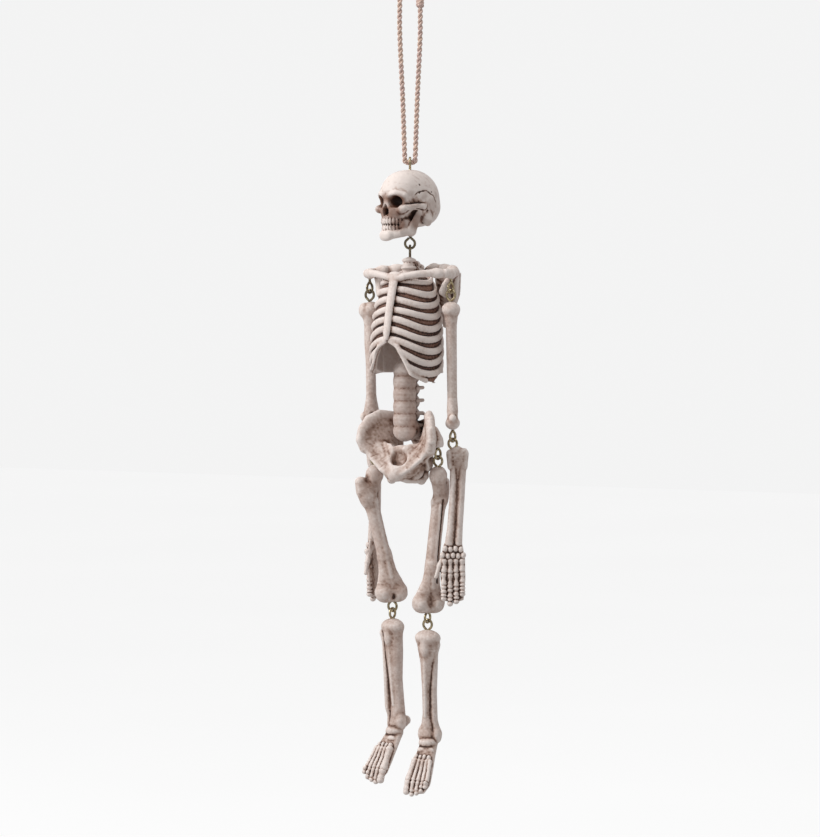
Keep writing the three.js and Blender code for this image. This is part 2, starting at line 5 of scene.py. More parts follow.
import bpy
import numpy as np
import openvdb
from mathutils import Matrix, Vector


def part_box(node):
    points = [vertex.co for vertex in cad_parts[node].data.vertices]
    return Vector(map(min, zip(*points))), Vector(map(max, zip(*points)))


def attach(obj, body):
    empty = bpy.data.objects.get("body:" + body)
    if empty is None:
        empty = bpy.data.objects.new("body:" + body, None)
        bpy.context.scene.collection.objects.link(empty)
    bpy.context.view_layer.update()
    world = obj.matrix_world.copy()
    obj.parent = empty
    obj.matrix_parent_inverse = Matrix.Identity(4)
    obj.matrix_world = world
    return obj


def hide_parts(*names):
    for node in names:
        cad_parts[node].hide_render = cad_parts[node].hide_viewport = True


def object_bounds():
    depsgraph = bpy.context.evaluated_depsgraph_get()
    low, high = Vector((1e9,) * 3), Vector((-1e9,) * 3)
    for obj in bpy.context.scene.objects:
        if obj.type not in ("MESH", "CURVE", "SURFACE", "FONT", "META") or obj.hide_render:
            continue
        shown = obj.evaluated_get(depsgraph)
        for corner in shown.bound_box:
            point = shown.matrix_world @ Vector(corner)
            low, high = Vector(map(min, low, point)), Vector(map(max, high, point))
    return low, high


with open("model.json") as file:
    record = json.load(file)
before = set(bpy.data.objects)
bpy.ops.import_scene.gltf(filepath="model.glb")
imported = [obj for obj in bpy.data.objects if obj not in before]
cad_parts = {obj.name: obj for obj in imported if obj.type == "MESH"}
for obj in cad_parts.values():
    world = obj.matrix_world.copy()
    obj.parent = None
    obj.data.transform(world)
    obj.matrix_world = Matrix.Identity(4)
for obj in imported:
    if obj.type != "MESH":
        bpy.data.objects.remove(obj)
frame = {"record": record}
CAD_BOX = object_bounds()

MM = 0.001
GRAIN = 0.26  # mm between sculpting samples
EYE_RADIUS = 1.95  # mm, centre of the wire
EYE_WIRE = 0.5
CORD_RADIUS = 1.0
CAMERA_AZIMUTH = 32.0
CAMERA_ELEVATION = 2.0
VIEW_WIDTH = 328.0  # mm across the picture at the figure
VIEW_MIDDLE = -177.4  # mm, height of the picture's middle
FLOOR_DROP = 0.12  # metres from the toes down to the floor
LENS = 160.0
SENSOR = 36.0
JOINTS = {j["name"]: j for j in frame["record"]["behaviour"]["joints"]}
AXIS = JOINTS["neck_swing"]["axis"]
CORD_HEADING = math.degrees(math.atan2(AXIS[1], AXIS[0]))
SIDES = {"left": 1, "right": -1}


def pivot(name):
    """A joint's place in mm."""
    return np.array(JOINTS[name]["pos_m"]) / MM


def top_of(node):
    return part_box(node)[1][2] / MM


def bottom_of(node):
    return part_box(node)[0][2] / MM


# ---- sculpting ----
class Clay:
    """A block of signed distances in mm that strokes are added to and carved from.
    Points are (x, y, depth), with depth counted down from `top`."""

    def __init__(self, node, spare=1.6):
        low, high = (np.array(corner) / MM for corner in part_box(node))
        self.top = high[2]
        self.low = low - spare
        count = np.ceil((high + spare - self.low) / GRAIN).astype(int) + 1
        self.axes = [self.low[i] + GRAIN * np.arange(count[i], dtype=np.float32) for i in range(3)]
        self.field = np.full(count, 3.0, dtype=np.float32)

    def place(self, point):
        return np.array([point[0], point[1], self.top - point[2]], dtype=float)

    def grid(self):
        """The x, y and depth of the samples, each along its own axis."""
        x = self.axes[0][:, None, None]
        y = self.axes[1][None, :, None]
        return x, y, self.top - self.axes[2][None, None, :]

    def window(self, low, high):
        """The slices and the coordinates of the samples between two corners."""
        spans = []
        for axis, a, b in zip(self.axes, low, high):
            spans.append(slice(*np.searchsorted(axis, [a, b])))
        x = self.axes[0][spans[0]][:, None, None]
        y = self.axes[1][spans[1]][None, :, None]
        z = self.axes[2][spans[2]][None, None, :]
        return tuple(spans), x, y, z

    def merge(self, spans, distance, soft, carve):
        old = self.field[spans]
        if carve:
            old = -old
        near = np.maximum(soft - np.abs(old - distance), 0.0) / soft
        new = np.minimum(old, distance) - near * near * soft * 0.25
        self.field[spans] = -new if carve else new

    def ball(self, centre, radii, soft=0.8, carve=False, turn=0.0):
        c = self.place(centre)
        r = np.array(radii, dtype=float)
        reach = r.max() + soft + 1.0
        spans, x, y, z = self.window(c - reach, c + reach)
        cos, sin = math.cos(math.radians(turn)), math.sin(math.radians(turn))
        dx, dy, dz = x - c[0], y - c[1], z - c[2]
        self.merge(spans, ellipse_distance(dx * cos + dy * sin, dy * cos - dx * sin, dz, *r), soft, carve)

    def stroke(self, stations, across=(1, 0, 0), soft=0.5, carve=False):
        """A chain of tapered pieces through (x, y, depth, half width, half thickness)."""
        places = [self.place(station) for station in stations]
        reach = max(max(station[3:5]) for station in stations) + soft + 0.8
        spans = self.window(np.min(places, axis=0) - reach, np.max(places, axis=0) + reach)[0]
        nearest = np.full(self.field[spans].shape, 9.0, dtype=np.float32)
        for first, second in zip(stations, stations[1:]):
            part, distance = self.segment(first, second, across, soft)
            inner = tuple(slice(p.start - s.start, p.stop - s.start) for p, s in zip(part, spans))
            nearest[inner] = np.minimum(nearest[inner], distance)
        self.merge(spans, nearest, soft, carve)

    def segment(self, first, second, across, soft):
        """The samples round one tapered piece, and their distances from it."""
        a, b = self.place(first), self.place(second)
        length = np.linalg.norm(b - a)
        along = (b - a) / length
        wide = np.array(across, dtype=float)
        wide -= wide.dot(along) * along
        wide /= np.linalg.norm(wide)
        thick = np.cross(along, wide)
        reach = max(first[3], first[4], second[3], second[4]) + soft + 0.8
        spans, x, y, z = self.window(np.minimum(a, b) - reach, np.maximum(a, b) + reach)
        dx, dy, dz = x - a[0], y - a[1], z - a[2]
        s = dx * along[0] + dy * along[1] + dz * along[2]
        inside = np.clip(s, 0, length)
        share = inside / length
        w = first[3] + (second[3] - first[3]) * share
        t = first[4] + (second[4] - first[4]) * share
        p = dx * wide[0] + dy * wide[1] + dz * wide[2]
        q = dx * thick[0] + dy * thick[1] + dz * thick[2]
        return spans, ellipse_distance(p, q, s - inside, w, t, np.minimum(w, t))

    def roughen(self, size, depth):
        """Shallow lumps, as cast resin has."""
        x = self.axes[0][:, None, None] / size
        y = self.axes[1][None, :, None] / size
        z = self.axes[2][None, None, :] / size
        lumps = (
            np.sin(x * 2.1 + np.sin(z * 1.7) * 1.3) * np.sin(y * 2.3 + np.sin(x * 1.9)) * np.sin(z * 1.9 + y)
        )
        self.field += (depth * lumps).astype(np.float32)

    def mesh(self, name, wash_and_painted_shade=None, painted_light_inside=None):
        """The zero surface as an object, with how hollow each vertex is and how much extra wash and painted
        shade each vertex gets.
        """
        grid = openvdb.FloatGrid(3.0)
        grid.copyFromArray(np.ascontiguousarray(self.field))
        points, quads = grid.convertToQuads(isovalue=0.0)
        data = bpy.data.meshes.new(name)
        places = (points * GRAIN + self.low) * MM
        data.from_pydata(places.tolist(), [], quads[:, ::-1].tolist())
        data.update()
        data.polygons.foreach_set("use_smooth", np.ones(len(data.polygons), dtype=bool))
        cells = tuple(np.clip(np.rint(points).astype(int), 0, np.array(self.field.shape) - 1).T)
        # How hollow each vertex is: in hollows it sets the brown wash and painted shade, on ridges the pale
        # dry-brushed high spots.
        level = np.clip(self.field, -1.5, 1.5)
        fine = (blurred(self.field, 2) - level)[cells] / 0.16
        broad = (blurred(self.field, 6) - level)[cells] / 0.75
        hollow = fine * 0.55 + broad * 0.6
        hollow = np.clip(np.where(hollow < 0, hollow * 2.2, hollow), -1, 1)
        # Painted light: vertices in the hollow of the rib cage are made paler.
        if painted_light_inside is not None:
            hollow = np.where(painted_light_inside[cells], np.maximum(hollow, -0.05) + 0.35, hollow)
        add_values(data, "cavity", hollow)
        add_values(data, "wash_and_painted_shade", np.zeros(len(points)) if wash_and_painted_shade is None else wash_and_painted_shade[cells])
        obj = bpy.data.objects.new(name, data)
        bpy.context.collection.objects.link(obj)
        return obj


def ellipse_distance(p, q, s, w, t, m):
    """Near enough the distance from (p, q, s) to an ellipsoid of radii w, t, m."""
    p, q, s = p / w, q / t, s / m
    k0 = np.sqrt(p * p + q * q + s * s)
    k1 = np.sqrt((p / w) ** 2 + (q / t) ** 2 + (s / m) ** 2) + 1e-6
    return (k0 * (k0 - 1.0) / k1).astype(np.float32)


def blurred(field, reach):
    """The mean of the field over a box of samples, taken one axis at a time."""
    out = np.clip(field, -1.5, 1.5)
    for axis in range(3):
        padded = np.pad(out, [(reach + 1, reach) if i == axis else (0, 0) for i in range(3)], mode="edge")
        total = np.cumsum(padded, axis=axis, dtype=np.float64)
        size = field.shape[axis]
        upper = np.take(total, np.arange(2 * reach + 1, 2 * reach + 1 + size), axis=axis)
        lower = np.take(total, np.arange(size), axis=axis)
        out = ((upper - lower) / (2 * reach + 1)).astype(np.float32)
    return out


def add_values(data, name, values):
    layer = data.attributes.new(name, "FLOAT", "POINT")
    layer.data.foreach_set("value", np.asarray(values, dtype=np.float32))


def on_side(side, stations):
    return [(x * side, *rest) for x, *rest in stations]


def turned(stations, degrees, x, y):
    """Stations turned about the vertical through (x, y)."""
    c, s = math.cos(math.radians(degrees)), math.sin(math.radians(degrees))
    return [
        (x + (px - x) * c - (py - y) * s, y + (px - x) * s + (py - y) * c, *rest)
        for px, py, *rest in stations
    ]


# ---- materials ----
def node_tree(name):
    material = bpy.data.materials.new(name)
    material.use_nodes = True
    nodes, links = material.node_tree.nodes, material.node_tree.links
    return material, nodes, links, nodes["Principled BSDF"]


def noise(nodes, links, scale, detail=4.0, roughness=0.6):
    """Noise in object space, in repeats per metre."""
    place = nodes.new("ShaderNodeTexCoord")
    texture = nodes.new("ShaderNodeTexNoise")
    texture.inputs["Scale"].default_value = scale
    texture.inputs["Detail"].default_value = detail
    texture.inputs["Roughness"].default_value = roughness
    links.new(place.outputs["Object"], texture.inputs["Vector"])
    return texture.outputs["Fac"]


def ramp(nodes, links, source, stops):
    node = nodes.new("ShaderNodeValToRGB")
    elements = node.color_ramp.elements
    while len(elements) < len(stops):
        elements.new(0.5)
    for element, (place, colour) in zip(elements, stops):
        element.position = place
        element.color = (*colour, 1.0) if len(colour) == 3 else colour
    links.new(source, node.inputs["Fac"])
    return node.outputs["Color"]


def math_node(nodes, links, operation, first, second):
    node = nodes.new("ShaderNodeMath")
    node.operation = operation
    for socket, value in zip(node.inputs, (first, second)):
        if isinstance(value, (int, float)):
            socket.default_value = value
        else:
            links.new(value, socket)
    return node.outputs["Value"]


def mixed(nodes, links, share, first, second, blend="MIX"):
    node = nodes.new("ShaderNodeMix")
    node.data_type = "RGBA"
    node.blend_type = blend
    for socket, value in (
        (node.inputs["Factor"], share), (node.inputs["A"], first), (node.inputs["B"], second),
    ):
        if isinstance(value, (int, float)):
            socket.default_value = value
        elif isinstance(value, tuple):
            socket.default_value = (*value, 1.0)
        else:
            links.new(value, socket)
    return node.outputs["Result"]


def bump(nodes, links, height, strength, distance, base=None):
    node = nodes.new("ShaderNodeBump")
    node.inputs["Strength"].default_value = strength
    node.inputs["Distance"].default_value = distance
    links.new(height, node.inputs["Height"])
    if base is not None:
        links.new(base, node.inputs["Normal"])
    return node.outputs["Normal"]


def attribute(nodes, name):
    node = nodes.new("ShaderNodeAttribute")
    node.attribute_name = name
    return node.outputs["Fac"]


def aged_and_shaded_bone(name, paleness, cavity_wash_and_shade=0.5):
    """Ivory resin with a brown wash and painted shade in the hollows and pale dry-brushed high spots."""
    material, nodes, links, shader = node_tree(name)
    patches = noise(nodes, links, 150.0, 6.0, 0.72)
    grain = noise(nodes, links, 900.0, 3.0, 0.7)
    pits = noise(nodes, links, 2200.0, 2.0, 0.6)
    cavity = attribute(nodes, "cavity")
    # Painted shade: the colour darkens with how deep the vertex sits in a hollow, together with the brown
    # wash there.
    shade = math_node(nodes, links, "MULTIPLY_ADD", cavity, cavity_wash_and_shade)
    shade.node.inputs[2].default_value = paleness
    wobble = math_node(nodes, links, "MULTIPLY_ADD", patches, 0.62)
    links.new(shade, wobble.node.inputs[2])
    speckle = math_node(nodes, links, "MULTIPLY_ADD", grain, 0.16)
    links.new(wobble, speckle.node.inputs[2])
    level = math_node(nodes, links, "SUBTRACT", speckle, 0.08)
    colour = ramp(nodes, links, level, (
        (0.10, (0.055, 0.024, 0.015)), (0.27, (0.165, 0.086, 0.057)), (0.42, (0.36, 0.236, 0.186)),
        (0.57, (0.57, 0.440, 0.382)), (0.78, (0.80, 0.703, 0.655)),
    ))
    # The extra wash and painted shade multiply the colour towards brown.
    washed_and_shaded = mixed(nodes, links, attribute(nodes, "wash_and_painted_shade"), colour, (0.33, 0.20, 0.15), "MULTIPLY")
    links.new(washed_and_shaded, shader.inputs["Base Color"])
    rough = ramp(nodes, links, grain, ((0.3, (0.46,) * 3), (0.7, (0.66,) * 3)))
    links.new(rough, shader.inputs["Roughness"])
    coarse = bump(nodes, links, grain, 0.35, 0.00025)
    links.new(bump(nodes, links, pits, 0.25, 0.0001, coarse), shader.inputs["Normal"])
    shader.inputs["Specular IOR Level"].default_value = 0.42
    return material


def old_bronze(name, bright, dull):
    """Drawn wire, tarnished brown where it isn't rubbed."""
    material, nodes, links, shader = node_tree(name)
    tarnish = noise(nodes, links, 1400.0, 4.0, 0.6)
    draw = noise(nodes, links, 5200.0, 2.0, 0.5)
    links.new(ramp(nodes, links, tarnish, ((0.36, dull), (0.58, bright))), shader.inputs["Base Color"])
    links.new(ramp(nodes, links, tarnish, (
        (0.35, (0.42,) * 3), (0.65, (0.2,) * 3),
    )), shader.inputs["Roughness"])
    links.new(bump(nodes, links, draw, 0.2, 0.00005), shader.inputs["Normal"])
    shader.inputs["Metallic"].default_value = 1.0
    return material


def spun_cord():
    """Soft cotton strands with a finer twist inside each one, painted darker in the twist's grooves as
    painted shade.
    """
    material, nodes, links, shader = node_tree("spun_cord")
    fibre = noise(nodes, links, 2600.0, 4.0, 0.7)
    patches = noise(nodes, links, 260.0, 3.0, 0.5)
    twist = attribute(nodes, "twist")
    # Painted shade: darker where the twist's bump is low.
    twist_groove_shade = mixed(nodes, links, twist, (0.36, 0.24, 0.22), (0.68, 0.50, 0.43))
    warm = ramp(nodes, links, patches, ((0.35, (0.62, 0.47, 0.46)), (0.65, (0.78, 0.60, 0.47))))
    colour = mixed(nodes, links, 0.45, twist_groove_shade, warm)
    flecked = mixed(nodes, links, fibre, colour, (0.80, 0.68, 0.62), "SOFT_LIGHT")
    links.new(flecked, shader.inputs["Base Color"])
    links.new(ramp(nodes, links, fibre, ((0.3, (0.82,) * 3), (0.7, (0.97,) * 3))), shader.inputs["Roughness"])
    coarse = bump(nodes, links, twist, 0.5, 0.0002)
    links.new(bump(nodes, links, fibre, 0.5, 0.0001, coarse), shader.inputs["Normal"])
    shader.inputs["Sheen Weight"].default_value = 0.3
    return material


def studio_floor():
    material, nodes, links, shader = node_tree("studio_floor")
    soft = noise(nodes, links, 3.0, 2.0, 0.4)
    links.new(ramp(nodes, links, soft, ((0.3, (0.14,) * 3), (0.7, (0.16,) * 3))), shader.inputs["Base Color"])
    shader.inputs["Roughness"].default_value = 0.9
    path = nodes.new("ShaderNodeLightPath")
    glow = nodes.new("ShaderNodeMapRange")
    glow.inputs["To Min"].default_value = 0.34
    glow.inputs["To Max"].default_value = 0.835
    links.new(path.outputs["Is Camera Ray"], glow.inputs["Value"])
    links.new(glow.outputs["Result"], shader.inputs["Emission Strength"])
    shader.inputs["Emission Color"].default_value = (1.0, 1.0, 1.0, 1.0)
    return material


# ---- camera, lights, floor ----
def sky():
    """A white backdrop that the camera sees brighter than it lights."""
    world = bpy.data.worlds.new("studio")
    bpy.context.scene.world = world
    bpy.context.scene.view_settings.view_transform = "Standard"
    world.use_nodes = True
    nodes, links = world.node_tree.nodes, world.node_tree.links
    path = nodes.new("ShaderNodeLightPath")
    strength = nodes.new("ShaderNodeMapRange")
    strength.inputs["To Min"].default_value = 0.36
    strength.inputs["To Max"].default_value = 0.90
    links.new(path.outputs["Is Camera Ray"], strength.inputs["Value"])
    links.new(strength.outputs["Result"], nodes["Background"].inputs["Strength"])
    nodes["Background"].inputs["Color"].default_value = (1.0, 1.0, 1.0, 1)


def stage():
    """A long lens at the photograph's angle, soft light from the upper left and a pale floor."""
    floor_height = CAD_BOX[0][2] - FLOOR_DROP
    middle = Vector((0, 0, VIEW_MIDDLE * MM))
    distance = LENS / SENSOR * VIEW_WIDTH * MM
    a, e = math.radians(CAMERA_AZIMUTH), math.radians(CAMERA_ELEVATION)
    away = Vector((math.sin(a) * math.cos(e), -math.cos(a) * math.cos(e), math.sin(e)))
    camera = bpy.data.objects.new("camera", bpy.data.cameras.new("camera"))
    camera.data.sensor_fit = "HORIZONTAL"
    camera.data.lens, camera.data.sensor_width = LENS, SENSOR
    camera.data.clip_start, camera.data.clip_end = 0.05, 20.0
    camera.location = middle + away * distance
    camera.rotation_euler = away.to_track_quat("Z", "Y").to_euler()
    bpy.context.collection.objects.link(camera)
    bpy.context.scene.camera = camera
    for name, heading, reach, height, size, power in (
        ("key", -40, 0.95, 0.55, 0.5, 8.5), ("fill", 100, 1.1, 0.1, 0.9, 1.0),
        ("top", 0, 0.05, 1.3, 1.6, 9.0),
    ):
        lamp = bpy.data.objects.new(name, bpy.data.lights.new(name, "AREA"))
        lamp.data.size, lamp.data.energy = size, power
        h = math.radians(heading)
        lamp.location = middle + Vector((reach * math.sin(h), -reach * math.cos(h), height))
        lamp.rotation_euler = (lamp.location - middle).to_track_quat("Z", "Y").to_euler()
        bpy.context.collection.objects.link(lamp)
    sky()
    bpy.ops.mesh.primitive_plane_add(size=8, location=(0, 0, floor_height))
    floor = bpy.context.object
    floor.name = "floor"
    floor.data.materials.append(studio_floor())


# ---- wire and cord ----
def tube(name, lines, radius, sides, twist=None):
    """One mesh of round tubes along lines of points in mm, capped at their ends."""
    verts, faces, values = [], [], []
    for number, line in enumerate(lines):
        line = np.array(line, dtype=float)
        along = np.gradient(line, axis=0)
        along /= np.linalg.norm(along, axis=1)[:, None]
        side = np.cross(along[0], (0.3, 0.5, 0.81))
        start = len(verts)
        for i, (point, direction) in enumerate(zip(line, along)):
            side = side - side.dot(direction) * direction
            side /= np.linalg.norm(side)
            other = np.cross(direction, side)
            for k in range(sides):
                turn = 2 * math.pi * k / sides
                verts.append(point + radius * (math.cos(turn) * side + math.sin(turn) * other))
                values.append(0.5 + 0.5 * math.cos(3 * turn + i * 0.55 + number * 2.0))
        for i in range(len(line) - 1):
            for k in range(sides):
                a, b = start + i * sides + k, start + i * sides + (k + 1) % sides
                faces.append((a, b, b + sides, a + sides))
        faces.append(tuple(range(start + sides - 1, start - 1, -1)))
        last = start + (len(line) - 1) * sides
        faces.append(tuple(range(last, last + sides)))
    data = bpy.data.meshes.new(name)
    data.from_pydata((np.array(verts) * MM).tolist(), [], faces)
    data.polygons.foreach_set("use_smooth", np.ones(len(data.polygons), dtype=bool))
    if twist:
        add_values(data, twist, values)
    obj = bpy.data.objects.new(name, data)
    bpy.context.collection.objects.link(obj)
    return obj


def smooth_line(points, per_span):
    """Points along a Catmull-Rom curve."""
    points = np.array(points, dtype=float)
    ends = np.vstack([2 * points[0] - points[1], points, 2 * points[-1] - points[-2]])
    out = []
    for i in range(1, len(ends) - 2):
        p0, p1, p2, p3 = ends[i - 1:i + 3]
        for t in np.linspace(0, 1, per_span, endpoint=False):
            out.append(0.5 * (2 * p1 + (p2 - p0) * t + (2 * p0 - 5 * p1 + 4 * p2 - p3) * t ** 2
                              + (3 * p1 - p0 - 3 * p2 + p3) * t ** 3))
    out.append(points[-1])
    return np.array(out)


def screw_eye(node, heading, body, material):
    """A wire eye: up the shank, round the ring and back to the neck of the shank."""
    low, high = (np.array(corner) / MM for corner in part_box(node))
    way = 1 if node.endswith("upper_eye") else -1
    centre = (low + high) / 2
    edge = low[2] if way > 0 else high[2]
    centre[2] = edge + way * (EYE_RADIUS + EYE_WIRE)
    far = high[2] if way > 0 else low[2]
    shank = abs(far - centre[2])
    round_ring = [
        (EYE_RADIUS * math.cos(a), EYE_RADIUS * math.sin(a))
        for a in np.radians(np.arange(-52, 233, 19))
    ]
    outline = [
        (0, -shank), (0, -shank * 0.7), (0, -EYE_RADIUS - 1.3), (0.12, -EYE_RADIUS - 0.7),
        (0.55, -EYE_RADIUS - 0.15),
    ]
    outline += round_ring + [(-0.72, -EYE_RADIUS + 0.02), (-0.42, -EYE_RADIUS - 0.42)]
    h = math.radians(heading)
    line = [
        (centre[0] + u * math.cos(h), centre[1] + u * math.sin(h), centre[2] - way * v)
        for u, v in outline
    ]
    eye = tube(node + "_wire", [smooth_line(line, 4)], EYE_WIRE, 12)
    eye.data.materials.append(material)
    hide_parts(node)
    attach(eye, body)


def cord(material):
    """Two strands twisted together, up from the crown eye, over the top and down to the knot."""
    high = np.array(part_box("cord_loop")[1]) / MM
    knot_low, knot_high = (np.array(corner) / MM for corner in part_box("cord_knot"))
    knot_z = (knot_low[2] + knot_high[2]) / 2
    seat = top_of("crown_eye") - EYE_RADIUS - EYE_WIRE + 0.1
    apex = high[2] - CORD_RADIUS
    half = [(1.7, seat + 0.5), (2.1, seat + 2.4), (2.9, -50), (4.0, -26)]
    over = [
        (3.9, knot_z + 2.2), (3.7, apex - 5.0), (2.7, apex - 1.4), (0, apex), (-2.7, apex - 1.4),
        (-3.7, apex - 5.0),
    ]
    outline = (
        over + [(-4.1, -14)] + [(-u, z) for u, z in half[::-1]]
        + [(0, seat - 0.1)] + half + [(4.1, knot_z - 2.2)]
    )
    h = math.radians(CORD_HEADING)
    line = smooth_line([(u * math.cos(h), u * math.sin(h), z) for u, z in outline], 24)
    steps = np.linalg.norm(np.diff(line, axis=0), axis=1)
    run = np.concatenate([[0], np.cumsum(steps)])
    even = np.arange(0, run[-1], 0.22)
    line = np.column_stack([np.interp(even, run, line[:, i]) for i in range(3)])
    along = np.gradient(line, axis=0)
    along /= np.linalg.norm(along, axis=1)[:, None]
    out = np.array([-math.sin(h), math.cos(h), 0.0])
    side = np.cross(along, out)
    turn = 2 * math.pi * even / 4.4
    plies = []
    for phase in (0.0, math.pi):
        swing = np.cos(turn + phase)[:, None] * out + np.sin(turn + phase)[:, None] * side
        plies.append(line + 0.5 * CORD_RADIUS * swing)
    loop = tube("cord_strands", plies, 0.56 * CORD_RADIUS, 10, "twist")
    loop.data.materials.append(material)
    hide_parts("cord_loop")
    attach(loop, "cord")
    u = 4.0
    wraps = []
    for phase in (0.0, 2.1, 4.2):
        turns = []
        for a in np.arange(0, 6.7, 0.22):
            across = u + 0.85 * math.cos(a + phase)
            beside = 0.85 * math.sin(a + phase)
            turns.append((
                across * math.cos(h) - beside * math.sin(h), across * math.sin(h) + beside * math.cos(h),
                knot_z - 2.0 + 4.0 * (a / 6.6),
            ))
        wraps.append(turns)
    knot = tube("cord_knot_turns", wraps, 0.8, 10, "twist")
    knot.data.materials.append(material)
    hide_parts("cord_knot")
    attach(knot, "cord")


# ---- skull ----
SKULL_TURN = -15.0


def skull_clay():
    clay = Clay("skull", 3.0)
    clay.ball((0, 0.5, 11.4), (9.5, 12.8, 11.4))
    clay.ball((0, -4.6, 10.6), (8.6, 8.6, 9.6), 2.0)
    clay.ball((0, 8.6, 15.4), (6.6, 4.8, 5.6), 2.0)
    clay.ball((0, 3.6, 18.6), (6.8, 8.0, 4.0), 1.5)
    clay.ball((0, -8.4, 16.6), (6.0, 5.2, 5.6), 1.5)
    clay.stroke([(0, -8.6, 17.5, 4.6, 4.0), (0, -9.2, 19.6, 4.3, 3.8)], soft=1.0)
    for side in SIDES.values():
        clay.ball((side * 10.2, -6.4, 14.0), (2.0, 3.8, 4.2), 2.0, True)
        clay.ball((side * 7.4, -4.2, 20.4), (2.0, 3.4, 4.2), 0.8, True)
        clay.stroke(on_side(side, [
            (6.8, -9.6, 10.6, 0.8, 0.9), (4.2, -12.0, 9.7, 0.9, 0.9), (1.3, -12.8, 10.6, 0.8, 0.8),
        ]), (0, 0, 1), 1.2)
        clay.ball((side * 6.5, -10.2, 15.8), (2.2, 1.9, 1.7), 1.0)
        clay.stroke(on_side(side, [
            (7.6, -8.8, 15.4, 1.1, 0.8), (9.3, -4.9, 14.6, 0.9, 0.65), (9.1, -0.4, 14.8, 1.1, 0.8),
        ]), (0, 0, 1), 0.6)
        clay.ball((side * 7.3, 2.8, 19.6), (1.6, 2.2, 3.0), 1.0)
        clay.ball((side * 9.3, 1.6, 16.6), (0.9, 0.7, 0.7), 0.4, True)
        clay.stroke(on_side(side, [
            (7.6, -1.6, 16.2, 1.0, 0.7), (7.3, -3.4, 20.0, 1.8, 0.7), (6.6, -4.8, 24.0, 2.2, 0.9),
        ]), (0, 1, 0), 0.5)
        clay.stroke(on_side(side, [
            (6.6, -5.2, 24.4, 1.7, 1.0), (4.9, -10.0, 25.6, 1.6, 1.1), (1.8, -12.8, 26.2, 1.8, 1.2),
        ]), (0, 0, 1), 0.8)
        clay.ball((side * 4.1, -12.9, 13.0), (2.75, 4.8, 2.6), 0.5, True)
        clay.ball((side * 0.8, -13.6, 17.0), (1.0, 3.2, 1.7), 0.4, True)
        clay.ball((side * 4.4, -5.6, 22.2), (2.2, 4.2, 3.2), 0.8)
    clay.ball((0, -13.0, 26.3), (3.2, 1.6, 2.3), 1.0)
    clay.stroke([(0, -11.8, 11.0, 1.0, 0.8), (0, -13.1, 14.2, 0.7, 0.6)], soft=0.8)
    clay.ball((0, -13.8, 15.4), (0.8, 2.4, 1.5), 0.4, True)
    for angle in range(-75, 76, 15):
        a = math.radians(angle)
        x, y = 4.5 * math.sin(a), -8.3 - 5.2 * math.cos(a)
        clay.ball((x, y, 20.6), (0.66, 0.6, 1.4), 0.15)
        clay.ball((x * 0.97, y + 0.25, 23.4), (0.62, 0.58, 1.35), 0.15)
    clay.stroke([(0, 0.8, 19.0, 2.8, 2.8), (0, 0.3, 24.4, 2.3, 2.4), (0, 0, 25.5, 1.3, 1.3)], soft=0.8)
    for hole in ((8.5, -2.6, 6.2), (9.1, -3.4, 9.4), (9.2, 3.4, 9.0)):
        clay.ball(hole, (0.45, 0.4, 0.4), 0.15, True)
    for side in SIDES.values():
        seam = [(8.6, -6.6, 11.6), (8.9, -4.0, 9.2), (9.3, 0.2, 8.4), (9.1, 4.4, 10.6), (8.4, 7.0, 13.8)]
        clay.stroke(on_side(side, [(*point, 0.25, 0.25) for point in seam]), soft=0.3, carve=True)
    clay.roughen(1.3, 0.05)
    return clay


def face_wash_and_shade(clay):
    """Wash and painted shade lie thickest in the eye sockets, the nose, between the teeth and behind the
    cheeks, with smudges on the sides.
    """
    x, y, depth = clay.grid()
    x = np.abs(x)
    wash_and_painted_shade = np.zeros(clay.field.shape, dtype=np.float32)
    for cx, cy, cd, rx, ry, rd, strength in (
        (4.1, -10.4, 13.0, 4.4, 3.6, 4.2, 1.4), (0.6, -11.8, 16.2, 2.2, 2.4, 2.8, 1.2),
        (2.4, -11.6, 17.0, 6.2, 4.2, 4.6, 1.0), (6.2, -3.6, 20.6, 4.4, 5.0, 5.2, 0.85),
        (3.4, -9.6, 22.0, 5.0, 4.8, 4.0, 0.95), (0, -12.4, 11.6, 3.4, 3.0, 3.4, 1.0),
        (8.6, -6.0, 13.6, 3.4, 4.0, 3.0, 0.45), (3.8, -7.4, 25.4, 3.6, 4.6, 3.0, 0.5),
        (9.6, 4.6, 14.6, 3.6, 4.6, 4.0, 0.4),
    ):
        near = 1 - np.sqrt(((x - cx) / rx) ** 2 + ((y - cy) / ry) ** 2 + ((depth - cd) / rd) ** 2)
        wash_and_painted_shade = np.maximum(wash_and_painted_shade, np.clip(near * 2.2, 0, 1) * strength)
    smudge = 0.5 + 0.5 * np.sin(x * 1.1 + 1.7 * np.sin(depth * 0.8)) * np.sin(
        y * 0.9 + 1.3 * np.sin(x * 0.7 + depth * 0.5)
    )
    side = np.clip((x - 5.0) / 4.0, 0, 1) * np.clip((depth - 5.0) / 5.0, 0, 1)
    wash_and_painted_shade = np.maximum(wash_and_painted_shade, 0.36 * side * np.clip(smudge * 2.6 - 1.2, 0, 1))
    return np.clip(wash_and_painted_shade * (0.72 + 0.28 * smudge), 0, 1)


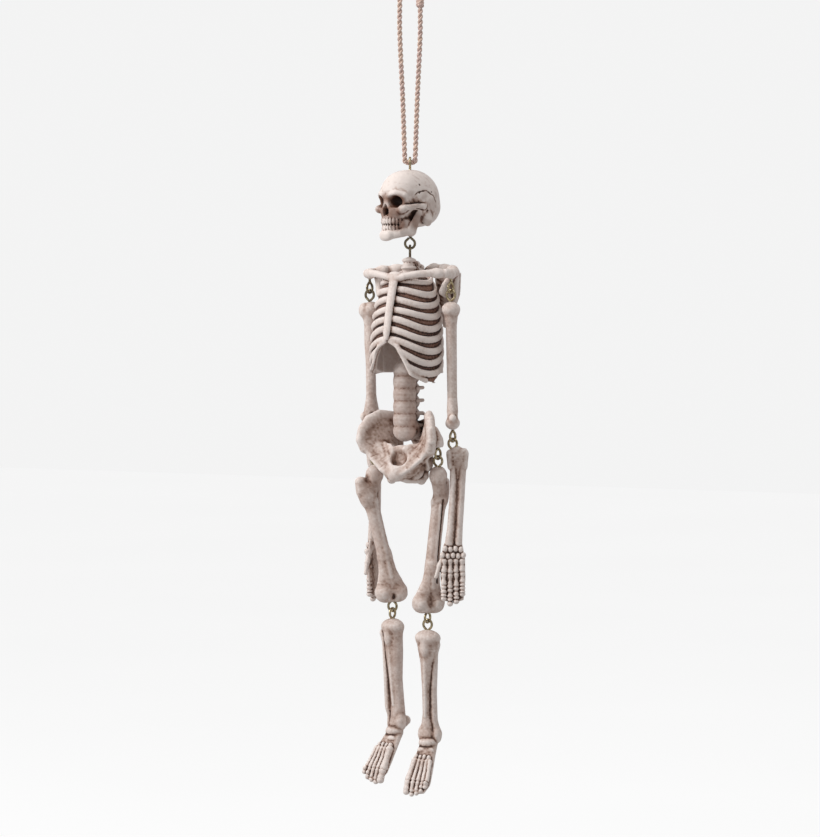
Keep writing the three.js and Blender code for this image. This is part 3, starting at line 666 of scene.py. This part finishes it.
# ---- torso ----
CHEST_Y = -1.5
CHEST_DEPTH = [5.3, 7.9, 14.9, 24.9, 36.9, 46.9, 60.9]
CHEST_WIDTH = [6.0, 10.0, 12.8, 14.2, 14.8, 14.6, 13.6]
CHEST_FRONT = [5.4, 9.2, 11.6, 14.6, 16.6, 16.4, 15.4]
CHEST_BACK = [4.5, 7.8, 10.4, 12.4, 12.8, 12.0, 10.8]
ARCH_X = [0.0, 4.4, 7.3, 9.3, 13.6, 20.0]
ARCH_DEPTH = [32.6, 35.9, 41.9, 47.5, 50.3, 51.4]
RIB_COUNT = 10
RIB_TOP = 9.2
RIB_PITCH = 3.9
LOWEST_ANGLE = math.radians(72)
RIGHT_ARCH_RISE = 3.4  # mm the front edge of the cage is higher on the right
CAGE_END = 52  # depth below which the wash and painted shade between the ribs stop


def chest_point(angle, depth, inset):
    width = np.interp(depth, CHEST_DEPTH, CHEST_WIDTH) - inset
    reach = np.interp(depth, CHEST_DEPTH, CHEST_FRONT if math.cos(angle) > 0 else CHEST_BACK) - inset
    return width * math.sin(angle), CHEST_Y - reach * math.cos(angle), depth


def rib_sag(angle, level):
    """How far a rib hangs below its height at the breastbone, going round to the spine."""
    depth = 1.4 + 0.62 * level
    if angle < LOWEST_ANGLE:
        return depth * 0.5 * (1 - math.cos(math.pi * angle / LOWEST_ANGLE))
    t = (angle - LOWEST_ANGLE) / (math.pi - LOWEST_ANGLE)
    return depth - (depth + 5.0) * 0.5 * (1 - math.cos(math.pi * t))


def chest_depth(clay):
    """How far each sample is outside the wall between the ribs."""
    x, y, depth = clay.grid()
    y = y - CHEST_Y
    width = np.interp(depth, CHEST_DEPTH, CHEST_WIDTH) - 1.0
    reach = np.where(
        y < 0, np.interp(depth, CHEST_DEPTH, CHEST_FRONT), np.interp(depth, CHEST_DEPTH, CHEST_BACK)
    ) - 1.0
    k = np.sqrt((x / width) ** 2 + (y / reach) ** 2)
    return ((k - 1) * k * np.minimum(width, reach)).astype(np.float32)


def chest_shell(clay):
    """The closed wall between and behind the ribs."""
    depth = clay.grid()[2]
    return np.maximum(np.abs(chest_depth(clay) + 0.75) - 0.75, 9.4 - depth).astype(np.float32)


def below_arch(clay):
    """Positive below the edge of the rib cage: under the costal arch in front, level behind."""
    x, y, depth = clay.grid()
    x = np.abs(x)
    front = np.interp(x, ARCH_X, ARCH_DEPTH) - RIGHT_ARCH_RISE * np.clip(
        (-clay.axes[0] - 5.0) / 6.0, 0, 1
    )[:, None, None]
    blend = np.clip((y + 3.5) / 4.0, 0, 1)
    limit = front * (1 - blend) + 46.4 * blend
    return ((depth - limit) * 0.75).astype(np.float32)


def rib_cage(clay):
    clay.field = np.minimum(clay.field, chest_shell(clay))
    for level in range(RIB_COUNT):
        height = 1.35 if level else 1.1
        for side in SIDES.values():
            stations = []
            for angle in np.linspace(0.1, math.pi - 0.08, 25):
                depth = RIB_TOP + RIB_PITCH * level + rib_sag(angle, level)
                depth += 0.22 * math.sin(angle * 3.1 + level * 2.3 + side)
                px, py, pd = chest_point(angle, depth, 0.75)
                stations.append((side * px, py, pd, height, 0.95))
            clay.stroke(stations, (0, 0, 1), 0.3)
    clay.field = np.maximum(clay.field, below_arch(clay))
    for side in SIDES.values():
        margin = []
        for px, pd in ((1.0, 33.4), (4.2, 35.4), (6.9, 40.8), (8.9, 46.2), (12.4, 49.2)):
            width = np.interp(pd, CHEST_DEPTH, CHEST_WIDTH) - 0.8
            reach = np.interp(pd, CHEST_DEPTH, CHEST_FRONT) - 0.8
            raised = pd - RIGHT_ARCH_RISE * min(max((-side * px - 5.0) / 6.0, 0), 1)
            margin.append((side * px, CHEST_Y - reach * math.sqrt(1 - (px / width) ** 2), raised, 1.0, 0.8))
        clay.stroke(margin, (0, 0, 1), 0.5)
    clay.stroke([
        (0, -11.6, 6.9, 2.5, 1.0), (0, -12.3, 9.6, 1.9, 1.0), (0, -15.6, 20.9, 1.65, 1.0),
        (0, -17.6, 30.2, 1.5, 0.9), (0, -17.9, 32.6, 0.9, 0.7),
    ], soft=0.3)


def spine(clay):
    clay.stroke([(0, -0.8, 2.2, 2.2, 2.1), (0, -1.0, 4.4, 2.6, 2.5), (0, 0.5, 8.9, 3.0, 3.0)])
    for y, depth, radius in ((-0.7, 1.5, 2.9), (-1.1, 4.5, 3.2), (-0.7, 7.5, 3.4)):
        clay.ball((0, y, depth), (radius, radius * 0.95, 1.15), 0.25)
    for y, depth, width in (
        (1.8, 2.6, 1.8), (4.2, 3.2, 2.2), (6.6, 4.4, 2.6), (8.8, 6.4, 2.8), (8.9, 9.4, 2.4),
    ):
        clay.ball((0, y, depth), (width, 1.5, 1.7), 0.5)
    for level in range(9):
        depth = 12.6 + 3.9 * level
        back = CHEST_Y + np.interp(depth, CHEST_DEPTH, CHEST_BACK)
        clay.ball((0, back, depth), (1.7, 1.5, 1.7), 0.5)
        clay.stroke([(0, back + 0.4, depth, 0.7, 0.7), (0, back + 1.5, depth + 1.6, 0.5, 0.5)], soft=0.4)
    clay.stroke([(0, 5.8, 30.0, 2.4, 2.4), (0, 2.2, 38.0, 3.0, 3.0), (0, -3.4, 44.6, 3.9, 3.7)], soft=0.8)
    for level in range(5):
        depth = 47.4 + 5.05 * level
        clay.stroke([
            (0, -4.0, depth - 1.75, 4.7, 4.35), (0, -4.0, depth, 4.4, 4.05),
            (0, -4.0, depth + 1.75, 4.75, 4.4),
        ], soft=0.2)
        clay.stroke([(0, -4.0, depth - 3, 4.0, 3.6), (0, -4.0, depth + 2, 4.0, 3.6)])
        clay.stroke([
            (0, -1, depth, 2.6, 2.4), (0, 2.4, depth + 0.2, 2.4, 2.6), (0, 4.2, depth + 0.6, 1.8, 2.4),
        ], soft=1.2)
        for side in SIDES.values():
            clay.stroke(on_side(side, [
                (2.8, -0.8, depth, 1.2, 0.9), (5.0, 1.6, depth - 0.2, 0.9, 0.7),
            ]), soft=0.5)
    clay.stroke([
        (0, -2.2, 67.1, 4.6, 3.4), (0, 2.6, 69.7, 4.8, 2.6), (0, 5.6, 72.3, 3.4, 1.7),
        (0, 6.0, 75.9, 1.9, 1.0), (0, 5.2, 78.4, 0.8, 0.6),
    ], soft=0.6)


def shoulder_girdle(clay, side):
    clay.stroke(on_side(side, [
        (0.9, -11.2, 8.6, 1.7, 1.7), (4.5, -11.2, 7.8, 1.3, 1.4), (9.0, -9.8, 7.0, 1.3, 1.4),
        (14.0, -6.4, 6.6, 1.4, 1.5), (18.0, -2.8, 6.8, 1.9, 1.7),
    ]), soft=0.5)
    clay.stroke(on_side(side, [
        (18.4, -2.6, 6.6, 1.7, 1.7), (19.1, 0.2, 6.8, 2.1, 2.2), (19.4, 3.2, 6.2, 1.6, 1.6),
        (14.6, 7.2, 5.0, 1.4, 1.5), (8.6, 9.2, 4.4, 1.3, 1.4), (3.0, 9.0, 5.0, 1.3, 1.4),
    ]), soft=0.6)
    for x, y, depth, radius in (
        (16.4, 5.4, 5.4, 2.4), (11.4, 8.2, 5.0, 2.4), (5.6, 9.2, 4.2, 2.0), (15.4, -4.8, 6.6, 2.3),
    ):
        clay.ball((side * x, y, depth), (radius * 1.1, radius * 0.8, radius * 0.85), 1.2)
    clay.stroke(on_side(side, [
        (12.6, 8.4, 6.4, 6.2, 0.9), (12.2, 9.2, 13.9, 5.8, 0.8), (11.0, 10.3, 20.9, 3.6, 0.8),
        (10.0, 10.9, 27.8, 1.2, 0.7),
    ]), soft=0.4)
    clay.stroke(on_side(side, [
        (19.0, 4.6, 7.4, 1.1, 1.1), (17.4, 6.4, 16.0, 1.1, 1.1), (13.4, 9.4, 22.4, 0.8, 0.8),
    ]), soft=0.6)
    clay.stroke(on_side(side, [
        (10.0, 9.6, 6.8, 0.8, 0.8), (8.6, 10.4, 16.0, 0.7, 0.7), (9.8, 11.0, 26.6, 0.8, 0.8),
    ]), soft=0.6)
    clay.stroke(on_side(side, [
        (17.0, 3.4, 8.4, 1.4, 1.4), (15.6, 1.6, 11.4, 1.5, 1.5), (14.8, 0.6, 14.0, 1.5, 1.5),
    ]), soft=0.6)
    clay.stroke(on_side(side, [
        (16.0, 6.6, 9.0, 3.0, 0.8), (14.8, 4.8, 16.0, 3.2, 0.8),
    ]), (0.5 * side, 0.85, 0), 0.5)


def on_blade(along, depth, *rest):
    """A place on the iliac blade, which runs from the sacrum outwards and forwards."""
    return (6 + 0.61 * along, 3 - 0.79 * along, depth, *rest)


def hip_bone(clay, side):
    fan = (0.61 * side, -0.79, 0)
    wing = [(64.4, 6.4, 1.6), (67.9, 8.8, 1.9), (72.7, 9.0, 2.1), (77.0, 7.8, 2.0)]
    root = [(73.0, 6.4, 2.0), (79.6, 6.2, 2.0), (83.8, 4.2, 1.5)]
    clay.stroke(on_side(side, [on_blade(9.0, *station) for station in wing]), fan, 0.6)
    clay.stroke(on_side(side, [on_blade(5.4, *station) for station in root]), fan, 0.8)
    rim = [
        (0.5, 65.0, 1.3), (4.0, 63.0, 1.4), (9.5, 62.4, 1.5), (14.0, 65.8, 1.6), (16.6, 69.4, 1.8),
        (17.6, 73.2, 1.9), (16.0, 76.2, 1.8), (13.4, 77.4, 1.6), (10.4, 80.4, 1.4), (7.6, 83.4, 1.3),
    ]
    clay.stroke(on_side(side, [on_blade(a, d, t * 0.8, t * 0.8) for a, d, t in rim]), (0, 0, 1), 2.2)
    clay.stroke(on_side(side, [
        (12.2, -5.0, 71.0, 6.4, 1.8), (10.4, -5.6, 75.4, 6.8, 1.9), (8.0, -6.8, 79.8, 6.0, 1.9),
        (4.4, -8.8, 84.0, 4.4, 1.7), (1.0, -10.0, 86.4, 2.6, 1.7),
    ]), (0.75 * side, -0.66, 0), 2.2)
    clay.ball((side * 5.4, -6.6, 85.4), (4.4, 1.9, 3.6), 1.6, turn=31 * side)
    clay.ball((side * 5.6, -7.0, 79.0), (4.6, 1.6, 4.6), 1.8, turn=31 * side)
    clay.stroke(on_side(side, [
        (12.6, -2.3, 69.3, 2.0, 1.8), (14.0, -2.3, 72.9, 2.6, 2.4), (14.4, -2.7, 74.4, 2.7, 2.5),
    ]), soft=1.4)
    clay.stroke(on_side(side, [
        (8.0, 0.8, 67.9, 4.2, 1.3), (5.0, 4.0, 68.9, 4.2, 1.6), (0.5, 5.0, 69.9, 3.8, 1.8),
    ]), (0, 0, 1), 0.8)
    clay.stroke(on_side(side, [
        (10.6, -6.4, 77.0, 2.0, 1.0), (7.4, -8.2, 81.3, 2.4, 1.1), (2.6, -10.2, 84.9, 2.8, 1.5),
        (0.4, -10.8, 86.1, 2.8, 1.8),
    ]), (0, 0, 1), 2.8)
    clay.stroke(on_side(side, [
        (9.6, -3.6, 74.7, 2.1, 1.9), (7.8, -2.2, 82.3, 1.9, 1.7), (7.4, -1.8, 87.3, 2.3, 2.1),
        (6.9, -2.6, 89.4, 1.7, 1.5),
    ]), soft=0.8)
    clay.stroke(on_side(side, [
        (7.4, -2.6, 89.0, 1.5, 1.4), (3.6, -8.0, 88.9, 1.3, 1.3), (0.4, -10.8, 87.1, 1.6, 1.4),
    ]), soft=0.5)
    clay.stroke(on_side(side, [
        (9.6, -4.6, 78.7, 3.0, 0.5), (6.6, -6.4, 83.7, 4.0, 0.45), (4.2, -7.6, 88.5, 2.0, 0.45),
    ]), (0.62 * side, 0.78, 0), 0.3)
    clay.stroke(on_side(side, [
        (9.4, -4.4, 77.0, 3.2, 0.7), (5.6, -8.0, 82.6, 3.4, 0.7), (1.6, -9.8, 87.0, 2.4, 0.8),
    ]), (0, 0, 1), 1.2)
    clay.ball((side * 14.8, -2.7, 76.6), (1.6, 1.6, 1.6), 0.8, True)


def pelvic_floor(clay):
    """The dished plate behind the pubic bones and the far side's small screw hole."""
    clay.ball((0.8, -7.8, 80.2), (6.0, 1.4, 5.2), 1.5)
    clay.ball((1.2, -10.2, 80.2), (3.5, 2.0, 3.8), 1.0, True)
    hole = np.array(on_blade(4.4, 75.7)) * (-1, 1, 1)
    clay.ball(hole + (1.4, -2.0, 0), (1.2, 1.2, 1.15), 0.4)
    clay.ball(hole + (2.2, -2.9, 0), (0.7, 0.7, 0.65), 0.2, True)


def torso_wash_and_shade(clay):
    """The wash and painted shade between the ribs, and the browner small of the back."""
    x, y, depth = clay.grid()
    gaps = np.clip((0.4 - np.abs(chest_depth(clay))) / 0.3, 0, 1) * (depth < CAGE_END)
    lumbar = (np.abs(x) < 6) * (y > -9.5) * np.clip((depth - 43) / 4, 0, 1) * np.clip((73 - depth) / 3, 0, 1)
    return np.maximum(gaps, 0.28 * lumbar)


def inside_chest(clay):
    """The smooth hollow of the rib cage, whose colour is painted paler as painted light."""
    depth = clay.grid()[2]
    beside_spine = np.abs(clay.axes[0])[:, None, None] > 5.4
    return (chest_depth(clay) < -1.0) & (depth < 49) & ((depth < 40) | beside_spine)


def free_hip(clay, name):
    """Clears the thigh's rounded head, and the way of its screw eye as the thigh swings forward."""
    x, y, z = pivot(f"{name}_hip_swing")
    depth = clay.top - z
    out = heading_vector(THIGH_HEADING[name]) * 0.8
    head = clay.top - top_of(f"{name}_thigh") + 3.6
    clay.ball((x + out[0], y + out[1], head), (4.0, 4.0, 4.2), 0.3, True)
    for swing in range(0, 60, 10):
        a = math.radians(swing)
        tip = (x, y - 6.5 * math.sin(a), depth + 6.5 * math.cos(a), 2.7, 2.7)
        clay.stroke(
            [(x, y - 1.5 * math.sin(a), depth + 1.5 * math.cos(a), 2.6, 2.6), tip], soft=0.4, carve=True
        )


def torso_clay():
    clay = Clay("torso")
    rib_cage(clay)
    spine(clay)
    for side in SIDES.values():
        shoulder_girdle(clay, side)
        hip_bone(clay, side)
    pelvic_floor(clay)
    for name in SIDES:
        free_hip(clay, name)
    clay.roughen(1.1, 0.04)
    return clay


# ---- limbs ----
KNEE_HEADING = {"left": 50.0, "right": 225.0}
UPPER_ARM_HEADING = {"left": 122.0, "right": 212.0}
FOREARM_TURN = {"left": -58.0, "right": 0.0}
FOREARM_LEAN = {"left": (0.8, -1.3), "right": (0.0, 2.4)}
THIGH_HEADING = {"left": 98.0, "right": 235.0}
FOOT_TURN = {"left": 2.0, "right": -16.0}
SHIN_WIDTH = {"left": 0.94, "right": 1.35}
FIBULA = {"left": (-0.5, -0.3), "right": (1.0, -1.8)}
FOOT_SPREAD = {"left": 1.06, "right": 1.22}


def heading_vector(degrees):
    return np.array([math.cos(math.radians(degrees)), math.sin(math.radians(degrees)), 0.0])


class Frame:
    """Turns (out, front, depth) beside a bone's axis into (x, y, depth)."""

    def __init__(self, start, end, length, heading):
        self.start, self.end, self.length = np.array(start[:2]), np.array(end[:2]), length
        self.out = heading_vector(heading)[:2]
        self.front = heading_vector(heading - 90)[:2]

    def at(self, out, front, depth):
        along = (self.end - self.start) * depth / self.length
        place = self.start + along + self.out * out + self.front * front
        return place[0], place[1], depth

    def line(self, stations):
        return [(*self.at(out, front, depth), w, t) for out, front, depth, w, t in stations]


def upper_arm(name):
    node = f"{name}_upper_arm"
    clay = Clay(node)
    length = top_of(node) - bottom_of(node)
    heading = UPPER_ARM_HEADING[name]
    shoulder, elbow = pivot(f"{name}_shoulder_swing"), pivot(f"{name}_elbow_swing")
    bone = Frame(shoulder, elbow, length, heading)
    wide = bone.out.tolist() + [0]
    clay.ball(bone.at(-0.6, 0, 3.0), (3.4, 3.7, 3.0), 0.8, turn=heading)
    clay.ball(bone.at(2.2, 0.6, 3.5), (2.3, 3.0, 3.1), 0.5, turn=heading)
    clay.stroke(bone.line([
        (0.2, 0, 4.6, 3.1, 2.9), (0.1, 0, 9.4, 2.2, 2.2), (0, 0, 24, 1.95, 2.05),
        (0, 0, length - 13, 2.05, 1.95), (0, 0, length - 6.4, 3.2, 2.3), (0, 0, length - 3.4, 3.6, 2.5),
    ]), wide, 0.8)
    clay.stroke(bone.line([(0.9, 2.2, 3.0, 0.45, 0.5), (0.8, 2.3, 8.0, 0.4, 0.5)]), wide, 0.4, True)
    clay.stroke(bone.line([
        (1.2, 1.0, 9, 0.9, 0.9), (1.4, 0.9, 17, 1.0, 0.9), (0.6, 0.8, 26, 0.8, 0.8),
    ]), wide, 1.0)
    for out, radius in ((-2.0, 2.7), (1.6, 2.9)):
        clay.ball(bone.at(out, 0, length - 2.6), (2.0, radius, 2.5), 0.5, turn=heading)
    for out in (-3.4, 3.4):
        clay.ball(bone.at(out, 0, length - 4.6), (1.2, 1.4, 1.6), 0.8, turn=heading)
    for front in (-2.6, 2.6):
        clay.ball(bone.at(-0.2, front, length - 5.2), (1.3, 1.1, 1.5), 0.6, True, heading)
    clay.roughen(1.0, 0.05)
    return node, clay


def finger(clay, place, wide, across, joints, radius):
    """Bones end to end, each waisted between knobbly ends."""
    for start, end in zip(joints, joints[1:]):
        span = end - start
        clay.stroke(place([
            (0.35, across, start + 0.9, radius, radius),
            (0.35, across, start + span * 0.45, radius * 0.62, radius * 0.66),
            (0.35, across, end - 0.9, radius * 1.02, radius),
        ]), wide, 0.15)


def forearm(name):
    node = f"{name}_forearm_hand"
    clay = Clay(node, 1.8)
    side = SIDES[name]
    turn = FOREARM_TURN[name]
    lean = FOREARM_LEAN[name]
    length = top_of(node) - bottom_of(node)
    x, y = pivot(f"{name}_elbow_swing")[:2]
    wide = tuple(heading_vector(90 + turn))

    def place(stations):
        out = []
        for px, py, depth, *rest in turned([(x + side * a, y + b, *r) for a, b, *r in stations], turn, x, y):
            out.append((px + lean[0] * depth / length, py + lean[1] * depth / length, depth, *rest))
        return out

    clay.stroke(place([
        (0, 1.2, 2.4, 3.0, 2.4), (0, 2.0, 3.4, 4.3, 2.6), (0, 2.2, 6.4, 3.6, 2.1),
        (0, 2.1, 12, 2.8, 1.3),
    ]), wide, 0.6)
    clay.stroke(place([(0, -0.9, 2.8, 1.7, 2.0), (0, -0.6, 8, 1.5, 1.7)]), wide, 0.5)
    clay.stroke(place([(0, 4.9, 2.6, 1.4, 1.7), (0, 4.4, 8, 1.5, 1.7)]), wide, 0.5)
    for offset, sizes in ((-1.65, (1.5, 1.35, 1.55, 1.9)), (1.6, (1.7, 1.45, 1.4, 1.6))):
        clay.stroke(place([
            (0, 2.1 + offset, 8, sizes[0], 1.8), (0, 1.7 + offset, 20, sizes[1], 1.6),
            (0, 1.0 + offset, 32, sizes[2], 1.6), (0, 0.5 + offset * 1.06, 38.4, sizes[3], 1.7),
        ]), wide, 0.25)
    clay.stroke(place([(0, 2.0, 8, 2.0, 1.2), (0, 0.6, 37, 2.0, 1.0)]), wide, 0.6)
    clay.stroke(place([(-0.2, 0.1, 39, 3.8, 1.1), (-0.2, 0.1, 45, 4.9, 1.0), (-0.2, 0.1, 52.6, 5.0, 0.95),
                       (-0.2, 0.2, length - 2.4, 4.2, 0.7)]), wide, 0.25)
    for depth, count in ((40.6, 4), (43.2, 5)):
        for i in range(count):
            across = 0.1 + 2.05 * (i - (count - 1) / 2)
            spot = place([(0.75, across, depth + 0.3 * (i % 2), 0, 0)])[0]
            clay.ball(spot[:3], (1.1, 1.1, 1.3), 0.15)
    for i, tip in enumerate((length - 2.2, length - 0.1, length - 1.0, length - 4.0)):
        across = -3.5 + 2.45 * i
        knuckle = 50.4 - 0.3 * abs(i - 1)
        finger(clay, place, wide, across * 0.95, (44.6, knuckle), 1.34)
        middle = knuckle + (tip - knuckle) * 0.46
        finger(clay, place, wide, across, (knuckle, middle, middle + (tip - middle) * 0.55, tip), 1.24)
    clay.stroke(place([
        (0, -2.4, 41.4, 1.3, 1.2), (0, -4.4, 45.6, 1.0, 0.9), (0, -5.2, 47.4, 1.15, 1.1),
    ]), wide, 0.3)
    clay.stroke(place([
        (0, -5.3, 47.8, 1.05, 1.0), (0, -6.1, 50.2, 0.8, 0.75), (0, -6.6, 51.8, 0.8, 0.75),
    ]), wide, 0.12)
    clay.roughen(0.9, 0.04)
    return node, clay


def thigh(name):
    node = f"{name}_thigh"
    clay = Clay(node, 3.0)
    length = top_of(node) - bottom_of(node)
    heading = THIGH_HEADING[name]
    bone = Frame(pivot(f"{name}_hip_swing"), pivot(f"{name}_knee_swing"), length, heading)
    wide = bone.out.tolist() + [0]
    clay.ball(bone.at(0.8, 0, 3.6), (3.3, 3.3, 3.5), 0.8)
    clay.stroke(bone.line([
        (0.9, 0, 4.6, 3.0, 2.9), (2.8, 0, 8.6, 3.1, 2.7), (4.6, 0, 12.0, 3.3, 2.6),
    ]), wide, 2.0)
    clay.stroke(bone.line([
        (7.4, 0, 6.8, 2.2, 2.1), (6.7, 0, 10.4, 3.0, 2.5), (5.0, 0, 14.0, 3.0, 2.6),
    ]), wide, 1.8)
    clay.stroke(bone.line([
        (5.0, 0, 13.6, 2.9, 2.6), (3.4, 0, 18, 2.9, 2.7), (2.1, 0, 28, 2.7, 2.6),
        (1.0, 0, length - 18, 2.8, 2.6),
    ]), wide, 1.6)
    knee = Frame(pivot(f"{name}_hip_swing"), pivot(f"{name}_knee_swing"), length, KNEE_HEADING[name])
    knee_wide = knee.out.tolist() + [0]
    clay.stroke(knee.line([
        (0.8, 0, length - 19, 2.7, 2.6), (0.5, 0, length - 12, 3.7, 2.8), (0.2, 0, length - 7.6, 5.2, 3.1),
        (0, 0, length - 4.4, 6.3, 3.4), (0, 0, length - 2.8, 5.8, 3.2),
    ]), knee_wide, 1.4)
    clay.ball(bone.at(2.6, -1.9, 15.0), (1.2, 1.2, 1.8), 0.8)
    for out, front in ((1.0, 1.9), (-0.9, 1.7), (0.2, -2.0)):
        clay.stroke(bone.line([
            (out + 2.6, front, 16, 0.5, 0.5), (out + 1.2, front, length * 0.55, 0.55, 0.55),
            (out * 1.6, front * 1.2, length - 10, 0.6, 0.6),
        ]), wide, 0.9)
    clay.stroke(bone.line([
        (2.4, 2.4, 14, 0.5, 0.5), (1.2, 2.5, length * 0.5, 0.4, 0.4), (0.1, 2.9, length - 12, 0.5, 0.5),
    ]), wide, 0.7, True)
    turn = KNEE_HEADING[name]
    for out in (-3.3, 3.3):
        clay.ball(knee.at(out, 0.1, length - 3.0), (2.8, 4.0, 2.9), 2.4, turn=turn)
    clay.ball(knee.at(0, 4.4, length - 4.6), (1.5, 1.2, 3.4), 1.4, True, turn)
    clay.ball(knee.at(0, -4.5, length - 1.2), (1.2, 2.4, 2.2), 1.0, True, turn)
    clay.roughen(1.1, 0.05)
    return node, clay


def lower_leg(name):
    node = f"{name}_lower_leg_foot"
    clay = Clay(node, 2.0)
    side, turn = SIDES[name], FOOT_TURN[name]
    x, y = pivot(f"{name}_knee_swing")[:2]
    wide = tuple(heading_vector(turn))

    def place(stations):
        return turned([(x + side * a, y + b, *rest) for a, b, *rest in stations], turn, x, y)

    def ball(centre, radii, soft=0.3, carve=False):
        clay.ball(place([centre])[0], radii, soft, carve, turn)

    shin, spread = SHIN_WIDTH[name], FOOT_SPREAD[name]
    ball((0, 0, 2.7), (5.2, 3.8, 2.6), 1.2)
    clay.stroke(place([
        (0, 0.2, 3.0, 5.0, 3.5), (-0.2, 0.4, 7, 4.2, 3.3), (-0.4, 0.7, 13, 3.0 * shin, 3.0),
        (-0.7, 1.2, 24, 2.1 * shin, 2.6), (-0.9, 2.0, 33.5, 2.2 * shin, 2.5),
        (-0.9, 2.3, 39.5, 3.2, 2.9), (-0.8, 1.8, 42.0, 3.2, 2.9),
    ]), wide, 1.4)
    ball((0, -2.7, 6.8), (1.5, 1.1, 2.8), 1.6)
    clay.stroke(place([
        (-0.1, -1.9, 8, 0.6, 0.7), (-0.5, -1.2, 20, 0.5, 0.6), (-0.9, -0.2, 34, 0.5, 0.6),
    ]), wide, 0.9)
    out, back = FIBULA[name]
    clay.stroke(place([
        (4.0 + out, 1.4 + back, 5.4, 1.5, 1.7), (3.1 + out, 1.6 + back, 9, 1.3, 1.4),
        (2.3 + out, 1.8 + back, 24, 1.3, 1.4), (2.3 + out, 2.5 + back, 35.5, 1.4, 1.4),
        (2.6, 2.8, 41.0, 1.6, 1.7),
    ]), wide, 0.5)
    clay.stroke(place([
        (1.8 + out / 2, 1.8 + back / 2, 8, 1.8, 1.2), (1.2 + out / 2, 2.1 + back / 2, 36, 1.7, 1.1),
    ]), wide, 0.7)
    ball((-3.3, 1.8, 41.4), (1.8, 2.2, 3.0), 1.4)
    ball((3.2, 2.4, 42.0), (1.6, 2.0, 3.0), 1.4)
    clay.stroke(place([
        (-0.3, 2.4, 43.0, 2.5, 2.4), (-0.4, 5.4, 41.4, 2.4, 2.4), (-0.4, 6.8, 41.0, 2.0, 2.0),
    ]), wide, 0.8)
    ball((-0.3, 0.6, 44.8), (3.8, 3.2, 2.4), 0.7)
    clay.stroke(place([
        (-0.2, 1.4, 45.4, 3.7, 2.7), (0, -1.8, 50.0, 4.1 * spread, 2.2), (0.2, -5.2, 55.6, 4.8 * spread, 1.7),
        (0.4, -7.8, 60.2, 5.0 * spread, 1.3), (0.0, -9.8, 63.0, 4.2 * spread, 0.9),
    ]), wide, 0.4)
    ball((-1.5, -2.0, 47.6), (2.0, 1.1, 1.3))
    ball((2.0, -1.4, 48.0), (1.8, 1.2, 1.6))
    for i, across in enumerate((-2.7, -0.9, 0.8, 2.7)):
        ball((across * spread, -4.0, 50.4 + 0.2 * (i % 2)), (0.95, 1.0, 1.45), 0.15)
    toes = ((-3.6, 1.15, 64.6), (-1.3, 0.85, 65.2), (0.75, 0.82, 64.6), (2.7, 0.78, 63.4), (4.4, 0.74, 61.8))
    for across, radius, tip in toes:
        across, radius = across * spread, radius * spread
        clay.stroke(place([
            (across * 0.8, -4.7, 51.6, radius * 1.2, radius * 1.1),
            (across * 0.92, -6.7, 55.2, radius * 0.95, radius * 0.9),
            (across, -8.6, 58.6, radius * 1.2, radius * 1.1),
        ]), wide, 0.35)
        clay.stroke(place([
            (across, -9.2, 59.8, radius * 1.15, radius * 1.05),
            (across, -9.7, 61.0, radius * 0.95, radius * 0.85),
            (across, -10.1, tip - 2.4, radius * 1.1, radius),
        ]), wide, 0.25)
        clay.ball(place([(across, -10.4, tip - radius * 0.9)])[0], (radius * 1.1, radius, radius), 0.2)
    clay.roughen(0.9, 0.04)
    return node, clay


# ---- assembly ----
BODY_OF = {node: body for body, nodes in frame["record"]["behaviour"]["bodies"].items() for node in nodes}


def add_bone(node, clay, material, wash_and_painted_shade=None, painted_light_inside=None, turn=0.0):
    obj = clay.mesh(node + "_cast", wash_and_painted_shade, painted_light_inside)
    if turn:
        places = np.empty(len(obj.data.vertices) * 3, dtype=np.float32)
        obj.data.vertices.foreach_get("co", places)
        places = places.reshape(-1, 3)
        c, s = math.cos(math.radians(turn)), math.sin(math.radians(turn))
        x, y = places[:, 0].copy(), places[:, 1].copy()
        places[:, 0], places[:, 1] = x * c - y * s, x * s + y * c
        obj.data.vertices.foreach_set("co", places.ravel())
        obj.data.update()
    obj.data.materials.append(material)
    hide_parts(node)
    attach(obj, BODY_OF[node])


def eyes():
    wire = old_bronze("old_bronze", (0.62, 0.52, 0.33), (0.20, 0.14, 0.085))
    # Painted shade: a darker copy of the same wire for the eyes at the neck and the far shoulder.
    shaded_wire = old_bronze("shaded_bronze", (0.36, 0.30, 0.20), (0.09, 0.07, 0.05))
    for node, body in BODY_OF.items():
        if not node.endswith("_eye"):
            continue
        heading = 90.0
        if node.startswith("neck"):
            heading = CORD_HEADING
        if node.startswith("right_knee"):
            heading = 0.0
        if node.endswith("lower_eye") or node == "crown_eye":
            heading += 90.0
        if node == "crown_eye":
            heading = CORD_HEADING + 90.0
        screw_eye(node, heading, body, shaded_wire if node.startswith(("neck", "right_shoulder")) else wire)


def main():
    stage()
    cord(spun_cord())
    eyes()
    # The skull's bone is painted paler than the torso's, and the limbs' darker.
    pale_bone = aged_and_shaded_bone("pale_bone", 0.44, 0.8)
    bone = aged_and_shaded_bone("aged_and_shaded_bone", 0.26)
    limb_bone = aged_and_shaded_bone("limb_bone", 0.20)
    skull = skull_clay()
    add_bone("skull", skull, pale_bone, face_wash_and_shade(skull), turn=SKULL_TURN)
    torso = torso_clay()
    add_bone("torso", torso, bone, torso_wash_and_shade(torso), inside_chest(torso))
    for name in SIDES:
        for build in (upper_arm, forearm, thigh, lower_leg):
            add_bone(*build(name), limb_bone)


main()
bpy.context.view_layer.update()
